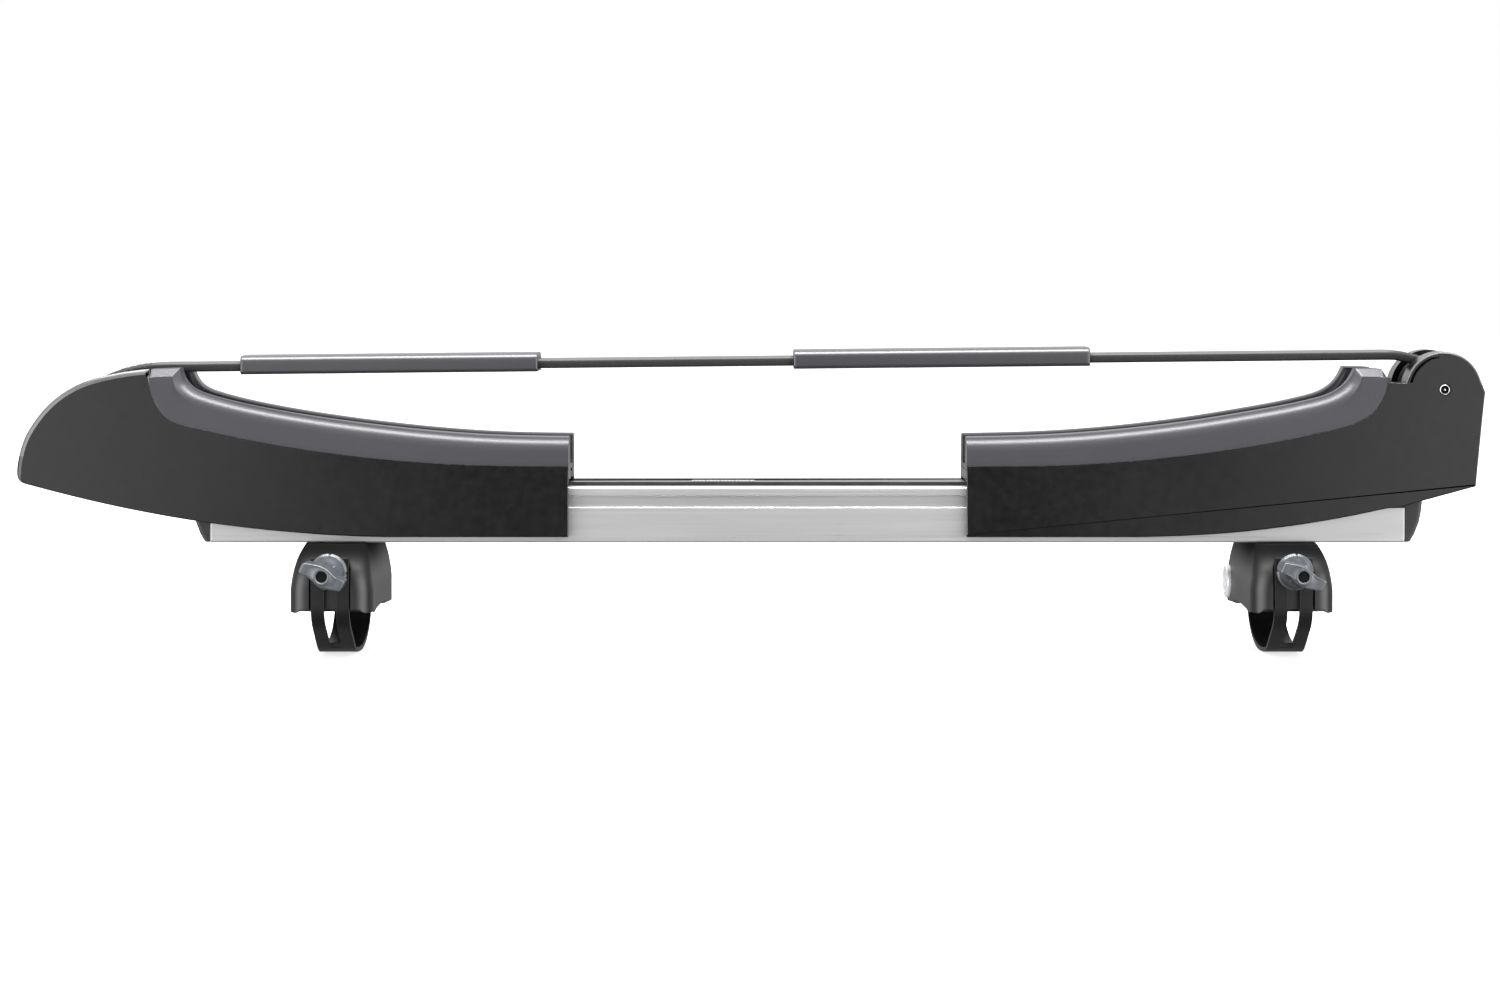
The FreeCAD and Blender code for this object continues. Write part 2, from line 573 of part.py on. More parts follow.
def right_cover(front):
    deck = [(x, z) for x, z in offset_curve(R_DECK, 0.0, 60) if z < WALL_TOP_Z - 0.4]
    shell = face_xz(("line", [R_DECK[0], (R_END, BASE_Z), R_BOTTOM[0]]), ("curve", R_BOTTOM),
                    ("line", R_LOW), ("line", R_EDGE), ("curve", R_ARC[::-1]),
                    ("line", [R_ARC[0], (394.6, WALL_TOP_Z)]), ("curve", deck[::-1]))
    arc_rim = face_xz(("curve", R_ARC), ("curve", R_ARC_IN[::-1]))
    edge_rim = face_xz(("line", [R_ARC[-1]] + R_EDGE[::-1]
                        + [(451.6, 38.0), (454.5, 67.3), (458.1, 102.6), R_ARC_IN[-1]]))
    cover = prism(shell, -HALF_Y, -HALF_Y + WALL)
    cover = cover.fuse(prism(arc_rim, COVER_ROOT, -CHEEK_IN))
    cover = cover.fuse(prism(edge_rim, COVER_ROOT, COVER_SEAM))
    # right of the spool the arc's rim closes over the channel
    closing = prism(arc_rim, COVER_ROOT, COVER_SEAM)
    cover = cover.fuse(closing.common(box(449.0, 470.0, -40, 1, 80, 130)))
    cover = cover.fuse(box(398.3, 407.5, COVER_ROOT, -CHEEK_IN, WALL_TOP_Z - WALL, WALL_TOP_Z))
    cover = add_end_wall(cover, R_END)
    # opening for the release button
    cover = cover.cut(box(450.0, 465.0, -8.2, 1.0, 66.8, 83.2))
    if front:
        cover = add_screw_posts(cover, R_SCREWS)
        # shallow crescent sunk into the face beside the arc
        disc = cyl_y(HOUSE_X, HOUSE_Z, HOUSE_R - 2.2, -32.5, -31.2)
        bite = cyl_y(HOUSE_X + 2.6, HOUSE_Z - 2.0, HOUSE_R - 2.4, -33.0, -31.0)
        cover = cover.cut(disc.cut(bite).common(box(400, 440, -33, -31, 108.0, 131)))
        # axle hole and the recess for its head
        cover = cover.cut(spool_cyl(4.4, -32.5, -30.8))
        cover = cover.cut(spool_cyl(AXLE_R + SHAFT_GAP, -33, -28))
    cover = cover.cut(STRAP_ROOM)
    if front:
        return cover
    cover = mirror_y(cover)
    # boss, axle hole and hexagonal seat for the axle nut
    cover = cover.fuse(spool_cyl(7.0, 27.0, 29.1))
    cover = cover.cut(spool_cyl(AXLE_R + SHAFT_GAP, 26, 33))
    cover = cover.cut(hex_prism(vec(SPOOL_X, 28.6, SPOOL_Z), "y", 8.3, 5))
    return cut_screw_holes(cover, R_SCREWS)


def right_core():
    end_x = R_END + CORE_INSET
    top_z = 105.6
    pocket_right, pocket_floor = RIGHT_WALL_X - 3.2, CORE_LOW + CORE_SKIN
    top_line = offset_curve(R_DECK, -CORE_TOP, 60)
    top = [(end_x, top_line[0][1])] + [(x, z) for x, z in top_line
                                       if x > end_x + 0.2 and z < top_z]
    pocket_top = [(x, z) for x, z in offset_curve(R_DECK, -POCKET_TOP, 60)
                  if x > 150.0 and z < 100.0]
    core_face = face_xz(("curve", top), ("line", [
        top[-1], (RIGHT_WALL_X, top_z), (RIGHT_WALL_X, CORE_LOW), (end_x, CORE_LOW)]))
    pocket_face = face_xz(("curve", pocket_top), ("line", [
        pocket_top[-1], (pocket_right, pocket_top[-1][1]), (pocket_right, pocket_floor),
        (150.0, pocket_floor)]))
    core = prism(core_face, -CORE_Y, CORE_Y).cut(ribbed_pocket(
        pocket_face, (178.0, 205.0, 232.0, 270.0, 310.0, 350.0, 374.0)))
    # bed and cheeks that carry the spool
    core = core.fuse(box(*CORE_BED, -CORE_Y, CORE_Y, CORE_LOW, CORE_LOW + CORE_SKIN))
    cheek = box(*CORE_BED, -CHEEK_OUT, -CHEEK_IN, CORE_LOW, 92.0)
    cheek = cheek.fuse(spool_cyl(22.2, -CHEEK_OUT, -CHEEK_IN))
    cheek = cheek.fuse(box(411.4, CORE_BED[1], -CHEEK_OUT, -CHEEK_IN, 80.0, SPOOL_Z))
    core = fuse_both_sides(core, cheek)
    # skirts beside the rail
    skirt = poly_xz([(end_x, 8.4), (255.0, 8.4), (330.0, 17.0), (395.0, 29.0),
                     (395.0, CORE_LOW + 0.5), (end_x, CORE_LOW + 0.5)], -CORE_Y, -25.1)
    core = fuse_both_sides(core, skirt)
    # upright behind the release spring
    core = core.fuse(box(436.0, 440.0, -6.0, 6.0, CORE_LOW, 80.0))
    core = cut_core_screw_paths(core, R_SCREWS)
    for x in CORE_BOLTS_X:
        core = core.cut(cyl_z(x, 0, CORE_BOLT_R + 0.2, 40, 46))
    core = core.cut(spool_cyl(AXLE_R + 0.1, -20, -15)).cut(spool_cyl(6.4, 15, 20))
    core = core.cut(cyl_y(PAWL_X, PAWL_Z, PAWL_PIN_R + 0.02, -20, 0))
    return core.cut(STRAP_ROOM)


def core_bolt(x):
    bolt = cyl_z(x, 0, CORE_BOLT_R, 28.9, 45.3).fuse(cyl_z(x, 0, 5.0, 45.25, 49.0))
    return bolt.cut(hex_prism(vec(x, 0, 46.5), "z", 5.0, 4))


def slot_nut(x):
    return box(x - 12, x + 12, -11.5, 11.5, 31.0, 35.9).cut(
        cyl_z(x, 0, CORE_BOLT_R + 0.05, 30, 37))


def right_pad():
    low = offset_curve(R_DECK, PAD_OVERLAP, 40)
    ridge_face = face_xz(("curve", low), ("line", [(390.8, 118.9)]), ("curve", R_PADTOP[::-1]))
    pad = cradle_pad(R_DECK, low, ridge_face)
    pad = pad.cut(box(391.0, 400.0, -RIDGE_IN, RIDGE_IN, 85, 125))
    pad = pad.cut(box(R_END - 10, R_END, -40, 40, 40, 90))
    return pad.cut(STRAP_ROOM)


save("right_front_cover", right_cover(True))
save("right_rear_cover", right_cover(False))
save("right_cover_screws", cover_screws(R_SCREWS))
save("right_core", right_core())
save("right_core_bolts", Part.makeCompound([core_bolt(x) for x in CORE_BOLTS_X]))
save("rail_slot_nuts", Part.makeCompound([slot_nut(x) for x in CORE_BOLTS_X]))
save("right_pad", right_pad())


# --- spool, ratchet and release ----------------------------------------------
def strap_spool():
    """Drum with a rear flange and hub, and a ratchet wheel as front flange."""
    spool = spool_cyl(DRUM_R, -13.3, 13.3)
    spool = spool.fuse(spool_cyl(FLANGE_R, 13.2, 15.2)).fuse(spool_cyl(6.0, 15.1, 26.6))
    step = 360.0 / RATCHET_TEETH
    teeth = []
    for i in range(RATCHET_TEETH):
        for radius, degrees in ((FLANGE_R, i * step), (RATCHET_ROOT_R, i * step + 21.0)):
            angle = math.radians(degrees)
            teeth.append((SPOOL_X + radius * math.cos(angle),
                          SPOOL_Z + radius * math.sin(angle)))
    spool = spool.fuse(poly_xz(teeth, -15.2, -13.2))
    spool = spool.cut(spool_cyl(AXLE_R + SHAFT_GAP, -20, 30))
    # slit in the hub
    return spool.cut(box(SPOOL_X - 0.6, SPOOL_X + 0.6, 20.0, 27.0, SPOOL_Z - 7, SPOOL_Z - 4.2))


def spool_axle():
    axle = spool_cyl(AXLE_R, -30.9, 31.4).fuse(spool_cyl(3.6, -31.9, -30.82))
    axle = axle.fuse(Part.makeCone(2.6, 3.6, 0.6, vec(SPOOL_X, -32.4, SPOOL_Z), vec(0, 1, 0)))
    return axle.cut(hex_prism(vec(SPOOL_X, -33.0, SPOOL_Z), "y", 2.6, 2.0))


def spool_axle_nut():
    return hex_prism(vec(SPOOL_X, 28.7, SPOOL_Z), "y", 8.0, 3.0).cut(
        spool_cyl(AXLE_R + 0.02, 27, 33))


def retractor_spring():
    """Flat spiral round the spool's hub."""
    inner_r, outer_r, turns, thickness = 6.6, 17.0, 5.0, 0.6
    steps = int(turns * 20)
    outer, inner = [], []
    for i in range(steps + 1):
        fraction = i / float(steps)
        angle = 2 * math.pi * turns * fraction - math.pi / 2
        middle = inner_r + (outer_r - inner_r) * fraction
        for side, radius in ((outer, middle + thickness / 2), (inner, middle - thickness / 2)):
            side.append((SPOOL_X + radius * math.cos(angle), SPOOL_Z + radius * math.sin(angle)))
    return poly_xz(outer + inner[::-1], 20.5, 25.5)


def ratchet_pawl():
    pawl = poly_xz([(444.0, 78.0), (439.0, 85.5), (441.6, 85.3), (445.6, 81.6), (449.8, 79.4),
                    (453.3, 73.6), (450.6, 72.2), (447.6, 73.4), (444.4, 74.6)], -15.2, -13.0)
    pawl = pawl.fuse(cyl_y(PAWL_X, PAWL_Z, 3.8, -15.2, -9.0))
    return pawl.cut(cyl_y(PAWL_X, PAWL_Z, PAWL_PIN_R + SHAFT_GAP, -20, 0))


def release_button():
    button = poly_xz([(453.6, 67.4), (460.4, 67.4), (461.6, 75.0), (460.9, 82.6),
                      (453.6, 82.6)], -7.8, 7.8)
    return button.fuse(box(449.6, 453.7, -7.8, 7.8, 67.4, 71.4))


def release_spring():
    x0, x1, z = 440.2, 453.4, 75.2
    coil_r, wire_r, turns = 3.2, 0.45, 5
    length = x1 - x0 - 2 * wire_r
    helix = Part.makeHelix(length / turns, length, coil_r)
    section = Part.Wire(Part.makeCircle(wire_r, vec(coil_r, 0, 0), vec(0, 1, 0)))
    spring = Part.Wire(helix.Edges).makePipeShell([section], True, True)
    spring.rotate(vec(0, 0, 0), vec(0, 1, 0), 90)
    spring.translate(vec(x0 + wire_r, 0.0, z))
    return spring


save("strap_spool", strap_spool())
save("spool_axle", spool_axle())
save("spool_axle_nut", spool_axle_nut())
save("retractor_spring", retractor_spring())
save("ratchet_pawl", ratchet_pawl())
save("pawl_pin", cyl_y(PAWL_X, PAWL_Z, PAWL_PIN_R, -19.0, -7.0))
save("release_button", release_button())
save("release_spring", release_spring())

# --- feet, modelled at x = 0 -------------------------------------------------
# height, half width, front reach, rear reach, corner radius
FOOT_LEVELS = [(-0.1, 18.8, 36.0, 54.0, 8.0), (-4.0, 20.6, 46.0, 57.0, 9.5),
               (-9.0, 22.6, 53.0, 58.8, 11.0), (-15.0, 24.6, 57.4, 59.6, 12.0),
               (-22.0, 26.3, 59.4, 60.0, 12.5), (-30.0, 27.4, 60.0, 60.0, 12.5)]
FOOT_BOTTOM = -49.0

# centre line of the band (y, z), front fork tip to rear eye
BAND = [(-57.7, -7.0), (-57.7, -18.0), (-57.7, -29.0), (-57.7, -36.0), (-57.5, -42.5),
        (-54.0, -50.5), (-46.0, -57.5), (-34.0, -66.0), (-23.0, -72.6), (-12.0, -74.6),
        (0.0, -75.4), (12.0, -75.2), (25.0, -72.9), (37.0, -68.6), (46.5, -62.0),
        (53.0, -53.0), (55.6, -44.0), (55.4, -37.0), (53.6, -33.0)]


def rounded_section(half_x, front, rear, radius, z):
    """Rounded rectangle at height z, as a wire."""
    right, back, near = half_x - radius, rear - radius, -front + radius
    corners = []
    for x, y, start in ((right, back, 0), (-right, back, 90), (-right, near, 180),
                        (right, near, 270)):
        corners.append([vec(x + radius * math.cos(math.radians(start + turn)),
                            y + radius * math.sin(math.radians(start + turn)), z)
                        for turn in (0, 45, 90)])
    edges = []
    for i in range(4):
        edges.append(Part.Arc(*corners[i]).toShape())
        edges.append(Part.makeLine(corners[i][2], corners[(i + 1) % 4][0]))
    return Part.Wire(edges)


def foot_form(shrink):
    """Outside form of a foot, drawn in by shrink all round."""
    wires = [rounded_section(half_x - shrink, front - shrink, rear - shrink,
                             max(2.0, radius - shrink), z)
             for z, half_x, front, rear, radius in FOOT_LEVELS]
    upper = Part.makeLoft(wires, True, False)
    z, half_x, front, rear, radius = FOOT_LEVELS[-1]
    outline = rounded_section(half_x - shrink, front - shrink, rear - shrink,
                              radius - shrink, FOOT_BOTTOM)
    return upper.fuse(Part.Face(outline).extrude(vec(0, 0, z - FOOT_BOTTOM + 0.001)))


def foot_housing():
    hollow = foot_form(FOOT_SKIN)
    hollow = hollow.cut(box(-40, 40, -70, 70, -7.0, 5))
    hollow = hollow.cut(box(-40, 40, -70, -50.0, -60, 5)).cut(box(-40, 40, 42.0, 70, -60, 5))
    foot = foot_form(0.0).cut(hollow)
    # cross walls: front, rear and middle
    for y0, y1, z0 in ((-51.0, -47.0, -41.0), (38.0, 43.0, -41.0), (-1.5, 1.5, -34.0)):
        foot = foot.fuse(box(-24.6, 24.6, y0, y1, z0, -6.5))
    # underside: arched from behind the front wall to the rear, then the front
    foot = foot.cut(poly_yz([(-40.5, -60.0), (-40.5, -47.0), (-31.0, -46.5), (-17.0, -44.0),
                             (33.0, -44.0), (41.0, -47.5), (50.0, -47.5), (62.0, -48.5),
                             (70.0, -48.5), (70.0, -60.0)], -40, 40))
    for x0, x1, y1, z1 in ((-40, 40, -45.9, -44.3), (-20.0, -14.5, -45, -41.6),
                           (14.5, 21.0, -45, -41.6), (-14.5, 14.5, -45, -42.2)):
        foot = foot.cut(box(x0, x1, -70, y1, -60, z1))
    # round-topped channel in the front wall where the band's fork lies
    channel = box(-14.0, 14.0, -70, -54.8, -60, STUD_Z)
    foot = foot.cut(channel.fuse(cyl_y(0, STUD_Z, 14.0, -70, -54.8)))
    foot = foot.cut(cyl_y(0, STUD_Z, STUD_R + 0.1, -60, -40))
    # rear clevis for the band's eye
    foot = foot.cut(box(-13.5, 13.5, 43.2, 70, -60, -20.0))
    foot = foot.cut(cyl_x(PIVOT_Y, PIVOT_Z, PIVOT_R + 0.02, -17.6, 17.6))
    for x in FOOT_BOLTS_X:
        foot = foot.cut(cyl_z(x, 0, 3.1, -10, 2))
        foot = foot.cut(cyl_z(x, 0, 6.6, -36, -6.9))
    # seat for the saddle pad
    return foot.cut(box(-23.0, 23.0, -44.0, 36.0, -50, -41.0))


def add_lock_seat(foot):
    """Bored lug for the lock on the foot's left side."""
    lug = cyl_x(LOCK_Y, LOCK_Z, 10.4, -26.0, -15.4)
    foot = foot.fuse(lug.cut(box(-14.0, 14.0, 30, 70, -60, 0)))
    foot = foot.cut(cyl_x(LOCK_Y, LOCK_Z, 8.5, -40, -17.9))
    foot = foot.cut(cyl_x(LOCK_Y, LOCK_Z, 11.55, -40, -26.4))
    return foot.cut(cyl_x(PIVOT_Y, PIVOT_Z, PIVOT_R + 0.02, -17.6, 17.6))


def foot_saddle():
    saddle = box(-22.8, 22.8, -43.5, 35.5, SADDLE_Z, -41.05)
    saddle = fillet_where(saddle, 4.0, lambda span: span.ZLength > 2)
    for y in (-25.0, 17.0):
        saddle = saddle.fuse(cyl_z(0, y, 3.0, -41.1, -36.0))
    return saddle


def clamp_knob():
    """Winged knob on the stud's axis, modelled at z = 0."""
    disc = cyl_y(0, 0, 12.4, -65.4, -62.0)
    disc = disc.makeFillet(1.0, disc.Edges)
    dome = Part.makeCone(6.4, 11.6, 14.0, vec(0, -79.0, 0), vec(0, 1, 0))
    hub = cyl_y(0, 0, 6.2, -97.0, -78.0)
    wing = box(-15.2, 15.2, -97.0, -79.5, -3.9, 3.9)
    wing = fillet_where(wing, 1.6, lambda span: span.YLength > 5)

    def web_section(half_x, y, half_z):
        ring = [vec(-half_x, y, -half_z), vec(half_x, y, -half_z),
                vec(half_x, y, half_z), vec(-half_x, y, half_z)]
        return Part.makePolygon(ring + ring[:1])

    # webs run from the wings back into the dome
    web = Part.makeLoft([web_section(15.2, -79.6, 3.2), web_section(8.5, -66.0, 3.0)],
                        True, True)
    knob = disc.fuse(dome).fuse(hub).fuse(wing).fuse(web)
    knob = knob.cut(cyl_y(0, 0, STUD_R + SHAFT_GAP, -94.0, -50))
    knob = knob.cut(cyl_y(0, 0, 3.8, -98, -93.9))
    knob.rotate(vec(0, 0, 0), vec(0, 1, 0), 24.5)
    return knob


def clamp_stud():
    return cyl_y(0, 0, STUD_R, -93.5, -46.9).fuse(hex_prism(vec(0, -46.9, 0), "y", 10.0, 4.0))


def clamp_band():
    def band_side(distance):
        out = []
        for i, (y, z) in enumerate(BAND):
            before = BAND[max(0, i - 1)]
            after = BAND[min(len(BAND) - 1, i + 1)]
            dy, dz = after[0] - before[0], after[1] - before[1]
            length = math.hypot(dy, dz)
            out.append(vec(-BAND_HALF_X, y - dz / length * distance,
                           z + dy / length * distance))
        return out

    def curve(pts):
        through = Part.BSplineCurve()
        through.interpolate(pts)
        return through.toShape()

    inside = band_side(BAND_THICK / 2)
    outside = band_side(-BAND_THICK / 2)[::-1]
    outline = Part.Wire([curve(inside), Part.makeLine(inside[-1], outside[0]),
                         curve(outside), Part.makeLine(outside[-1], inside[0])])
    band = Part.Face(outline).extrude(vec(2 * BAND_HALF_X, 0, 0))
    band = band.fuse(cyl_x(PIVOT_Y, PIVOT_Z, 5.6, -BAND_HALF_X, BAND_HALF_X))
    band = band.cut(cyl_x(PIVOT_Y, PIVOT_Z, PIVOT_R + SHAFT_GAP, -20, 20))
    return band.cut(box(-FORK_HALF, FORK_HALF, -70, -29.0, -80, 0))


def foot_rail_bolt(x):
    return cyl_z(x, 0, 3.0, -14.5, 4.0).fuse(box(x - 6, x + 6, -5, 5, 3.05, 7.5))


def foot_rail_nut(x):
    return hex_prism(vec(x, 0, -12.2), "z", 10.0, 5.0).cut(cyl_z(x, 0, 3.02, -20, 0))


def foot_lock_bezel():
    face_x = RIGHT_FOOT_X - 30.6
    bezel = cyl_x(LOCK_Y, LOCK_Z, 11.5, face_x, RIGHT_FOOT_X - 26.45).cut(
        cyl_x(LOCK_Y, LOCK_Z, LOCK_BORE, 200, 400))
    return fillet_where(bezel, 1.2, lambda span: abs(span.XMax - face_x) < 1e-6
                        and span.YLength > 20)


def foot_lock_barrel():
    barrel = cyl_x(LOCK_Y, LOCK_Z, LOCK_BORE - SHAFT_GAP,
                   RIGHT_FOOT_X - 30.2, RIGHT_FOOT_X - 18.0)
    # keyway
    return barrel.cut(box(RIGHT_FOOT_X - 32, RIGHT_FOOT_X - 26.0, LOCK_Y - 0.9, LOCK_Y + 0.9,
                          LOCK_Z - 4.0, LOCK_Z + 4.0))


housing = foot_housing()
# name, shape, height it is lifted to
CLAMP_PIECES = (("foot_saddle", foot_saddle(), 0),
                ("clamp_knob", clamp_knob(), STUD_Z),
                ("knob_plug", cyl_y(0, 0, 3.75, -96.0, -94.0), STUD_Z),
                ("clamp_stud", clamp_stud(), STUD_Z),
                ("clamp_band", clamp_band(), 0),
                ("band_pin", cyl_x(PIVOT_Y, PIVOT_Z, PIVOT_R, -17.5, 17.5), 0))
for side, foot_x, foot_shape in (("left", LEFT_FOOT_X, housing),
                                 ("right", RIGHT_FOOT_X, add_lock_seat(housing))):
    save("foot_housing_" + side, moved(foot_shape, vec(foot_x, 0, 0)))
    for name, shape, z in CLAMP_PIECES:
        save("%s_%s" % (name, side), moved(shape, vec(foot_x, 0, z)))

bolt_places = [foot_x + x for foot_x in (LEFT_FOOT_X, RIGHT_FOOT_X) for x in FOOT_BOLTS_X]
save("foot_rail_bolts", Part.makeCompound([foot_rail_bolt(x) for x in bolt_places]))
save("foot_rail_nuts", Part.makeCompound([foot_rail_nut(x) for x in bolt_places]))
save("foot_lock_bezel", foot_lock_bezel())
save("foot_lock_barrel", foot_lock_barrel())
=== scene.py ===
"""A strap-down cradle on an extruded rail.

The rail runs along X with its top near z = 0. -Y is the front, -X the left. Two curved cradles
with foam pads stand on the rail, a webbing strap in two foam sleeves spans them, and two feet
with clamp knobs hang below. Shapes are written in millimetres and scaled to metres in link_mesh;
materials, lights and camera are in metres.
"""
import bpy, bmesh, math
import numpy as np
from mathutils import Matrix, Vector


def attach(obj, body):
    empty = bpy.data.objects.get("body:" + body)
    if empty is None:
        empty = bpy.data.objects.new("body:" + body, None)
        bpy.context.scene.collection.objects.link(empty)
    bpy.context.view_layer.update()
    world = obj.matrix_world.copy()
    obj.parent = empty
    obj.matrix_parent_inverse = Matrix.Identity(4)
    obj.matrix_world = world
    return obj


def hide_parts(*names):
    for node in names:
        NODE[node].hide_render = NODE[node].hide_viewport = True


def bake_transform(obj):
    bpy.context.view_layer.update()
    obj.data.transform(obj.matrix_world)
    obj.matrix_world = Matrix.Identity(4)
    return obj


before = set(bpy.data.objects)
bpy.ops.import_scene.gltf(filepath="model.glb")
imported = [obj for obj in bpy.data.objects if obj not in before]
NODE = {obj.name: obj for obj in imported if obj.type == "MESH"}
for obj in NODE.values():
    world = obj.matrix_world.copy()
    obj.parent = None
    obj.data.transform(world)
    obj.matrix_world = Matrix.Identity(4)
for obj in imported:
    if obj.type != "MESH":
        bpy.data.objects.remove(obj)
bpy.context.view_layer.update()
MM = 0.001
SCENE = bpy.context.scene

# =============================================================================
# node helpers
# =============================================================================


def srgb(*rgb):
    """Linear RGBA from 0-255 sRGB values."""
    def linear(c):
        c = c / 255.0
        return c / 12.92 if c <= 0.04045 else ((c + 0.055) / 1.055) ** 2.4
    return tuple(linear(c) for c in rgb) + (1.0,)


def grey(level):
    return srgb(level, level, level)


def darker(color, factor):
    return tuple(c * factor for c in color[:3]) + (1.0,)


class Nodes:
    """Builds nodes in one tree; values may be numbers, colours or output sockets."""

    def __init__(self, tree):
        self.tree = tree

    def feed(self, socket, value):
        if isinstance(value, bpy.types.NodeSocket):
            self.tree.links.new(value, socket)
        elif value is not None:
            socket.default_value = value

    def add(self, kind, inputs=(), **settings):
        node = self.tree.nodes.new(kind)
        for key, value in settings.items():
            setattr(node, key, value)
        for key, value in dict(inputs).items():
            self.feed(node.inputs[key], value)
        return node

    def math(self, operation, a, b=None):
        return self.add("ShaderNodeMath", {0: a, 1: b} if b is not None else {0: a},
                        operation=operation).outputs[0]

    def remap(self, value, span, to=(0.0, 1.0), **settings):
        """Maps value from the range span to the range to."""
        ranges = {"From Min": span[0], "From Max": span[1], "To Min": to[0], "To Max": to[1],
                  "Value": value}
        return self.add("ShaderNodeMapRange", ranges, **settings).outputs["Result"]

    def split(self, vector):
        return self.add("ShaderNodeSeparateXYZ", {0: vector}).outputs


class Material(Nodes):
    def __init__(self, name):
        self.material = bpy.data.materials.new(name)
        self.material.use_nodes = True
        super().__init__(self.material.node_tree)
        self.shader = self.tree.nodes["Principled BSDF"]
        self.place = self.add("ShaderNodeTexCoord").outputs["Object"]

    def geometry(self, output):
        return self.add("ShaderNodeNewGeometry").outputs[output]

    def mapping(self, stretch):
        return self.add("ShaderNodeMapping",
                        {"Scale": stretch, "Vector": self.place}).outputs["Vector"]

    def noise(self, scale, detail=3.0, roughness=0.5, stretch=(1, 1, 1)):
        return self.add("ShaderNodeTexNoise",
                        {"Scale": scale, "Detail": detail, "Roughness": roughness,
                         "Vector": self.mapping(stretch)}).outputs["Fac"]

    def voronoi(self, scale):
        return self.add("ShaderNodeTexVoronoi",
                        {"Scale": scale, "Vector": self.mapping((1, 1, 1))}).outputs["Distance"]

    def wave(self, scale, direction, distortion=0.0):
        return self.add("ShaderNodeTexWave",
                        {"Scale": scale, "Distortion": distortion, "Vector": self.place},
                        bands_direction=direction).outputs["Fac"]

    def mix(self, factor, a, b):
        # on the Mix node, colour A and B are inputs 6 and 7 and the colour result is output 2
        return self.add("ShaderNodeMix", {"Factor": factor, 6: a, 7: b},
                        data_type="RGBA").outputs[2]

    def bump(self, height, strength, distance, normal=None):
        return self.add("ShaderNodeBump",
                        {"Strength": strength, "Distance": distance, "Height": height,
                         "Normal": normal}).outputs["Normal"]

    def output(self, color, roughness, normal=None, metallic=0.0, specular=0.5, **others):
        values = {"Base Color": color, "Roughness": roughness, "Normal": normal,
                  "Metallic": metallic, "Specular IOR Level": specular}
        values.update((key.replace("_", " "), value) for key, value in others.items())
        for key, value in values.items():
            self.feed(self.shader.inputs[key], value)
        return self.material


# =============================================================================
# materials
# =============================================================================
MIDDLE = (0.3, 0.7)             # the part of a noise's range that most of its values fall in


def moulded(name, base, light, roughness, grain=2600.0, strength=0.35, specular=0.5, wear_and_edge_highlight=None,
            waviness=0.12):
    """Moulded plastic: fine grain, soft blotches in colour and gloss, paler edges that are partly
    wear and partly a painted highlight.

    With roughness None the gloss blotches and the paler edges are left out.
    """
    m = Material(name)
    clouds = m.noise(scale=14.0)
    color = m.mix(m.remap(clouds, span=(0.35, 0.65)), base, light)
    if roughness is not None:
        mottle = m.noise(scale=160.0, detail=4.0, roughness=0.6)
        # paler convex edges: partly wear, partly a painted highlight
        if wear_and_edge_highlight is not None:
            edges = m.remap(m.geometry("Pointiness"), span=(0.53, 0.60), to=(0.0, 0.55))
            edges = m.math("MULTIPLY", edges, m.remap(mottle, span=(0.35, 0.7), to=(0.2, 1.0)))
            color = m.mix(edges, color, wear_and_edge_highlight)
        roughness = m.math("ADD", m.remap(mottle, MIDDLE, to=(-0.035, 0.035)),
                           m.remap(clouds, MIDDLE, to=(roughness - 0.02, roughness + 0.02)))
    normal = m.bump(m.voronoi(grain), strength, distance=0.00004)
    normal = m.bump(m.noise(scale=45.0, detail=2.0), waviness, distance=0.0004, normal=normal)
    return m.output(color, roughness, normal, specular=specular)


def foot_plastic():
    """Matt shoulder just under the rail, fading to a glossier skirt."""
    fade_z = (-0.024, -0.002)
    skirt_specular, shoulder_specular = 0.55, 0.04
    skirt_roughness, shoulder_roughness = 0.38, 0.72
    material = moulded("foot_plastic", grey(9), grey(12), roughness=None, strength=0.05,
                       specular=skirt_specular, waviness=0.0)
    nodes = Nodes(material.node_tree)
    height = nodes.split(nodes.add("ShaderNodeTexCoord").outputs["Object"])[2]
    shader = nodes.tree.nodes["Principled BSDF"]
    for key, to in (("Specular IOR Level", (skirt_specular, shoulder_specular)),
                    ("Roughness", (skirt_roughness, shoulder_roughness))):
        nodes.feed(shader.inputs[key],
                   nodes.remap(height, fade_z, to, interpolation_type="SMOOTHSTEP"))
    return material


def foam(name, base, light, roughness, specular, grain, relief=1.0):
    """Closed-cell rubber foam skin: small cells, faint cloudy tone, dusty shine."""
    m = Material(name)
    clouds = m.noise(scale=9.0, detail=4.0, roughness=0.6)
    cells = m.voronoi(grain)
    fine = m.noise(scale=grain * 2.2, roughness=0.7)
    color = m.mix(m.remap(clouds, MIDDLE), base, light)
    color = m.mix(m.remap(cells, span=(0.0, 0.35), to=(0.35, 0.0)), color, darker(base, 0.86))
    normal = m.bump(cells, strength=0.30 * relief, distance=0.00012)
    normal = m.bump(fine, strength=0.25 * relief, distance=0.00005, normal=normal)
    gloss = m.remap(fine, MIDDLE, to=(roughness - 0.05, roughness + 0.05))
    return m.output(color, gloss, normal, specular=specular, Sheen_Weight=0.02,
                    Sheen_Roughness=0.5)


